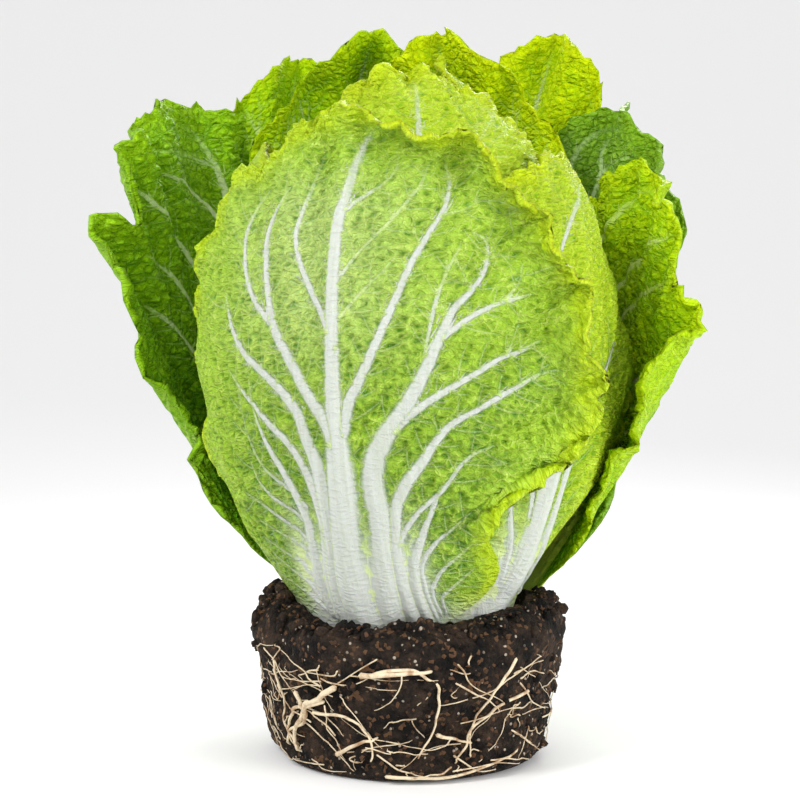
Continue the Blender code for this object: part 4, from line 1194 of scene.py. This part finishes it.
def leaf_margin(tree, name, blade, outer, share, patches):
    """The blade's colour with its ragged yellow margin and with that of the side that is turned away; but in
    the head and tips finishes, its outer side is darkened as painted shade.
    """
    finish, margin = FINISHES[name], srgb(*FINISHES[name].margin)
    ragged = tree.math("ADD", tree.value("margin"), tree.math("MULTIPLY_ADD", patches, 0.9, -0.45))
    yellow = tree.math("MULTIPLY", tree.step(ragged, 0.05, 0.70), finish.margin_share)
    blade = tree.mix(yellow, blade, margin)
    inside = tree.math("MULTIPLY", tree.math("SUBTRACT", 1.0, outer), tree.step(share, 0.35, 0.6))
    inside = tree.math("MULTIPLY", inside, 0.95 if name == "head" else 0.3)
    blade = tree.mix(inside, blade, srgb(*CURLED) if name == "head" else margin)
    if name in HEAD_FINISHES:
        return blade
    # Painted shade: the outer side is darkened towards the crease colour
    return tree.mix(tree.math("MULTIPLY", outer, 0.40), blade, srgb(*finish.crease_shade))


def leaf_ribs(tree, finish, place, share):
    """How white the skin is by the ribs alone and with the leaf's foot, the ribs' colour and its streaks. A
    rib is drawn one half width to each side of its middle."""
    clear = tree.value("clear")
    line = tree.step(tree.math("ABSOLUTE", tree.value("beside")), 0.75, 1.35, 1.0, 0.0)
    line = tree.math("MULTIPLY", line, clear)
    line = tree.math("MULTIPLY", line, tree.step(share, 0.78, 0.98, 0.97, 0.20))
    white = tree.math("MAXIMUM", tree.value("white"), line)
    foot = tree.step(share, 0.03, 0.13, 1.0, 0.0)
    streaks = tree.noise(tree.stretched(place, (420.0, 14.0, 1.0)), 1.0, 2.0)
    rib = srgb(*finish.rib)
    pale = tree.mix(tree.step(streaks, 0.35, 0.75, 0.0, 0.45), rib, srgb(*OLD_RIB))
    bold = tree.math("MAXIMUM", tree.step(clear, 0.45, 0.90), foot)
    pale = tree.mix(bold, tree.mix(0.5, srgb(*finish.vein), rib), pale)
    return white, tree.math("MAXIMUM", white, foot), pale, streaks


def leaf_material(name):
    """A leaf's skin: hollows with painted shade between raised pale veins that cross from rib to rib, white
    ribs that melt into the blade, painted shade in the creases beside them, a painted sheen on the front
    leaf, a yellower ragged margin, painted shade on the sunken net of the inner side and on the outer side of
    some leaves, and small bumps with a waxy gloss."""
    finish = FINISHES[name]
    tree = Tree("leaf_" + name)
    outer, share = tree.value("outer"), tree.value("share")
    place = tree.node("UVMap", uv_map="flattened").outputs["UV"]
    patches = tree.noise(place, PATCHES, 4.0, 0.6)
    stretch = HEAD_NET if name in HEAD_FINISHES else OPEN_NET
    raised, rungs, fine_web = leaf_net(tree, place, outer, stretch)
    blade = leaf_blade(tree, finish, share, patches, raised)
    # The net is pale veins on the outer side; on the inner side, where it lies deep, it takes the crease
    # colour as painted shade
    net = tree.mix(outer, srgb(*finish.crease_shade), srgb(*finish.vein))
    strength = tree.step(tree.noise(place, STRENGTH, 3.0), 0.40, 0.66, 0.10, 0.55)
    blade = tree.mix(tree.math("MULTIPLY", rungs, strength), blade, net)
    blade = tree.mix(tree.math("MULTIPLY", fine_web, 0.14), blade, net)
    blade = leaf_margin(tree, name, blade, outer, share, patches)
    white, whiteness, pale, streaks = leaf_ribs(tree, finish, place, share)
    tree.painted(tree.mix(whiteness, blade, pale), finish.roughness, finish.gloss)
    tree.shader.inputs["Subsurface Weight"].default_value = 0.15
    tree.shader.inputs["Subsurface Radius"].default_value = (0.6, 1.0, 0.15)
    tree.shader.inputs["Subsurface Scale"].default_value = 0.0015

    # Small bumps, almost none of them on the ribs
    lift = tree.math("MULTIPLY_ADD", rungs, tree.math("MULTIPLY_ADD", outer, 0.6, -0.3), raised)
    lift = tree.math("MULTIPLY_ADD", fine_web, 0.25, lift)
    lift = tree.math("MULTIPLY_ADD", tree.noise(place, GRAIN, 3.0, 0.6), 0.35, lift)
    lift = tree.math("MULTIPLY", lift, tree.math("MULTIPLY_ADD", whiteness, -0.85, 1.0))
    lift = tree.math("MULTIPLY_ADD", streaks, 0.25, lift)
    lift = tree.math("MULTIPLY_ADD", white, 0.50, lift)
    tree.bumped(lift, LEAF_BUMP)
    return tree.material


def soil_material():
    """Dark damp soil with redder and paler grains."""
    tree = Tree("soil")
    place = tree.node("TexCoord").outputs["Object"]
    patches = tree.noise(place, 70.0, 6.0, 0.7)
    colour = tree.mix(tree.step(patches, 0.38, 0.72), srgb(*SOIL), srgb(*DRY_SOIL))
    grains = tree.node("TexVoronoi", {"Vector": place, "Scale": 520.0})
    pick = tree.node("SeparateColor", {"Color": grains.outputs["Color"]})
    red = tree.step(pick.outputs[0], 0.86, 0.92)
    colour = tree.mix(tree.math("MULTIPLY", red, 0.55), colour, srgb(*RED_GRAIN))
    away = grains.outputs["Distance"]
    light = tree.math("MULTIPLY", tree.step(pick.outputs[1], 0.955, 0.975), tree.step(away, 0.5, 0.3))
    tree.painted(tree.mix(light, colour, srgb(*PALE_GRAIN)), 0.92, 0.25)
    lift = tree.math("MULTIPLY_ADD", tree.noise(place, GRAIN, 5.0, 0.75), 0.8, away)
    tree.bumped(tree.math("MULTIPLY", lift, -1.0), SOIL_BUMP)
    return tree.material


def root_material():
    """Cream roots with brown stains."""
    tree = Tree("root")
    place = tree.node("TexCoord").outputs["Object"]
    stains = tree.noise(place, 160.0, 4.0, 0.65)
    tree.painted(tree.mix(tree.step(stains, 0.42, 0.72), srgb(*ROOT), srgb(*ROOT_STAIN)), 0.62)
    tree.bumped(tree.noise(place, 1200.0, 3.0), ROOT_BUMP, 0.4)
    return tree.material


def heart_material():
    """The pale yellow heart, with long soft ribs."""
    tree = Tree("heart")
    place = tree.node("TexCoord").outputs["Object"]
    streaks = tree.noise(tree.stretched(place, (1.0, 1.0, 0.12)), 150.0, 3.0)
    tree.painted(tree.mix(tree.step(streaks, 0.35, 0.65), srgb(*HEART), srgb(*HEART_RIB)), 0.5)
    tree.bumped(streaks, HEART_BUMP, 0.5)
    return tree.material


def floor_material():
    """A plain pale floor."""
    tree = Tree("floor")
    tree.shader.inputs["Base Color"].default_value = (0.9, 0.9, 0.9, 1.0)
    tree.shader.inputs["Roughness"].default_value = 0.8
    return tree.material


def placed(obj, node, slot):
    """A finished piece: it stands for its CAD node and rides with it. The slot is not used."""
    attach(obj, "root")
    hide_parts(node)


def add_leaves():
    """Every leaf in its finish."""
    skins = {}
    for k, (name, look) in enumerate(LOOKS.items()):
        if look.finish not in skins:
            skins[look.finish] = leaf_material(look.finish)
        points, faces, values, flat = dressed_leaf(LEAVES[name], look, 100 * k + 7)
        obj = piece("dressed_" + name, points, faces, skins[look.finish], values, flat)
        placed(obj, name, "open_leaf" if "open" in name else "head_leaf")


def add_soil():
    """The soil ball with its crumbs, and the roots over it."""
    earth = soil_material()
    body = piece("soil_body", *soil_body(), earth)
    placed(body, "soil_ball", "soil")
    loose = piece("soil_crumbs", *crumbs(CRUMBS, 5), earth)
    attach(loose, "root")
    thick = [root_solid(knots, girth, 40 + k) for k, (knots, girth) in enumerate(THICK_ROOTS)]
    net = piece("root_net", *gathered([*thick, *hair_roots(HAIRS, 300)]), root_material())
    placed(net, "roots", "root")


def add_heart():
    """The heart keeps its solid and gets its material."""
    material = heart_material()
    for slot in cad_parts["heart"].material_slots:
        slot.material = material


def aimed(name, data, at, target):
    """A lamp or a camera that looks from one place at another."""
    obj = bpy.data.objects.new(name, data)
    obj.location = at
    obj.rotation_euler = (Vector(target) - Vector(at)).to_track_quat("-Z", "Y").to_euler()
    bpy.context.scene.collection.objects.link(obj)
    return obj


def add_stage():
    """A pale floor that sweeps up behind on a quarter circle, soft light all round, and the camera."""
    turn = np.linspace(0, math.pi / 2, 24)
    ahead = np.concatenate([[-SWEEP_SPAN], SWEEP_FROM + SWEEP * np.sin(turn), [SWEEP_FROM + SWEEP]])
    rise = np.concatenate([[0.0], SWEEP - SWEEP * np.cos(turn), [SWEEP_TOP]])
    wide = np.array([[-SWEEP_SPAN, SWEEP_SPAN]])
    sheet = np.stack(np.broadcast_arrays(wide, ahead[:, None], rise[:, None]), -1)
    faces = split(np.arange(2 * len(rise)).reshape(-1, 2))
    floor = piece("floor", sheet.reshape(-1, 3), faces, floor_material())
    world = bpy.data.worlds.new("studio")
    world.use_nodes = True
    background = world.node_tree.nodes["Background"]
    background.inputs["Color"].default_value = (1, 1, 1, 1)
    background.inputs["Strength"].default_value = 0.90
    bpy.context.scene.world = world
    for name, at, size, power in LAMPS:
        lamp = bpy.data.lights.new(name, "AREA")
        lamp.size = size
        lamp.energy = power
        aimed(name, lamp, at, (0, 0, 0.2))
    lens = bpy.data.cameras.new("camera")
    lens.lens = CAMERA_LENS
    lens.sensor_width = SENSOR
    lens.clip_start, lens.clip_end = 0.01, 50.0
    bpy.context.scene.camera = aimed("camera", lens, CAMERA_AT, CAMERA_AIM)
    bpy.context.scene.view_settings.view_transform = "Standard"


add_leaves()
add_soil()
add_heart()
add_stage()
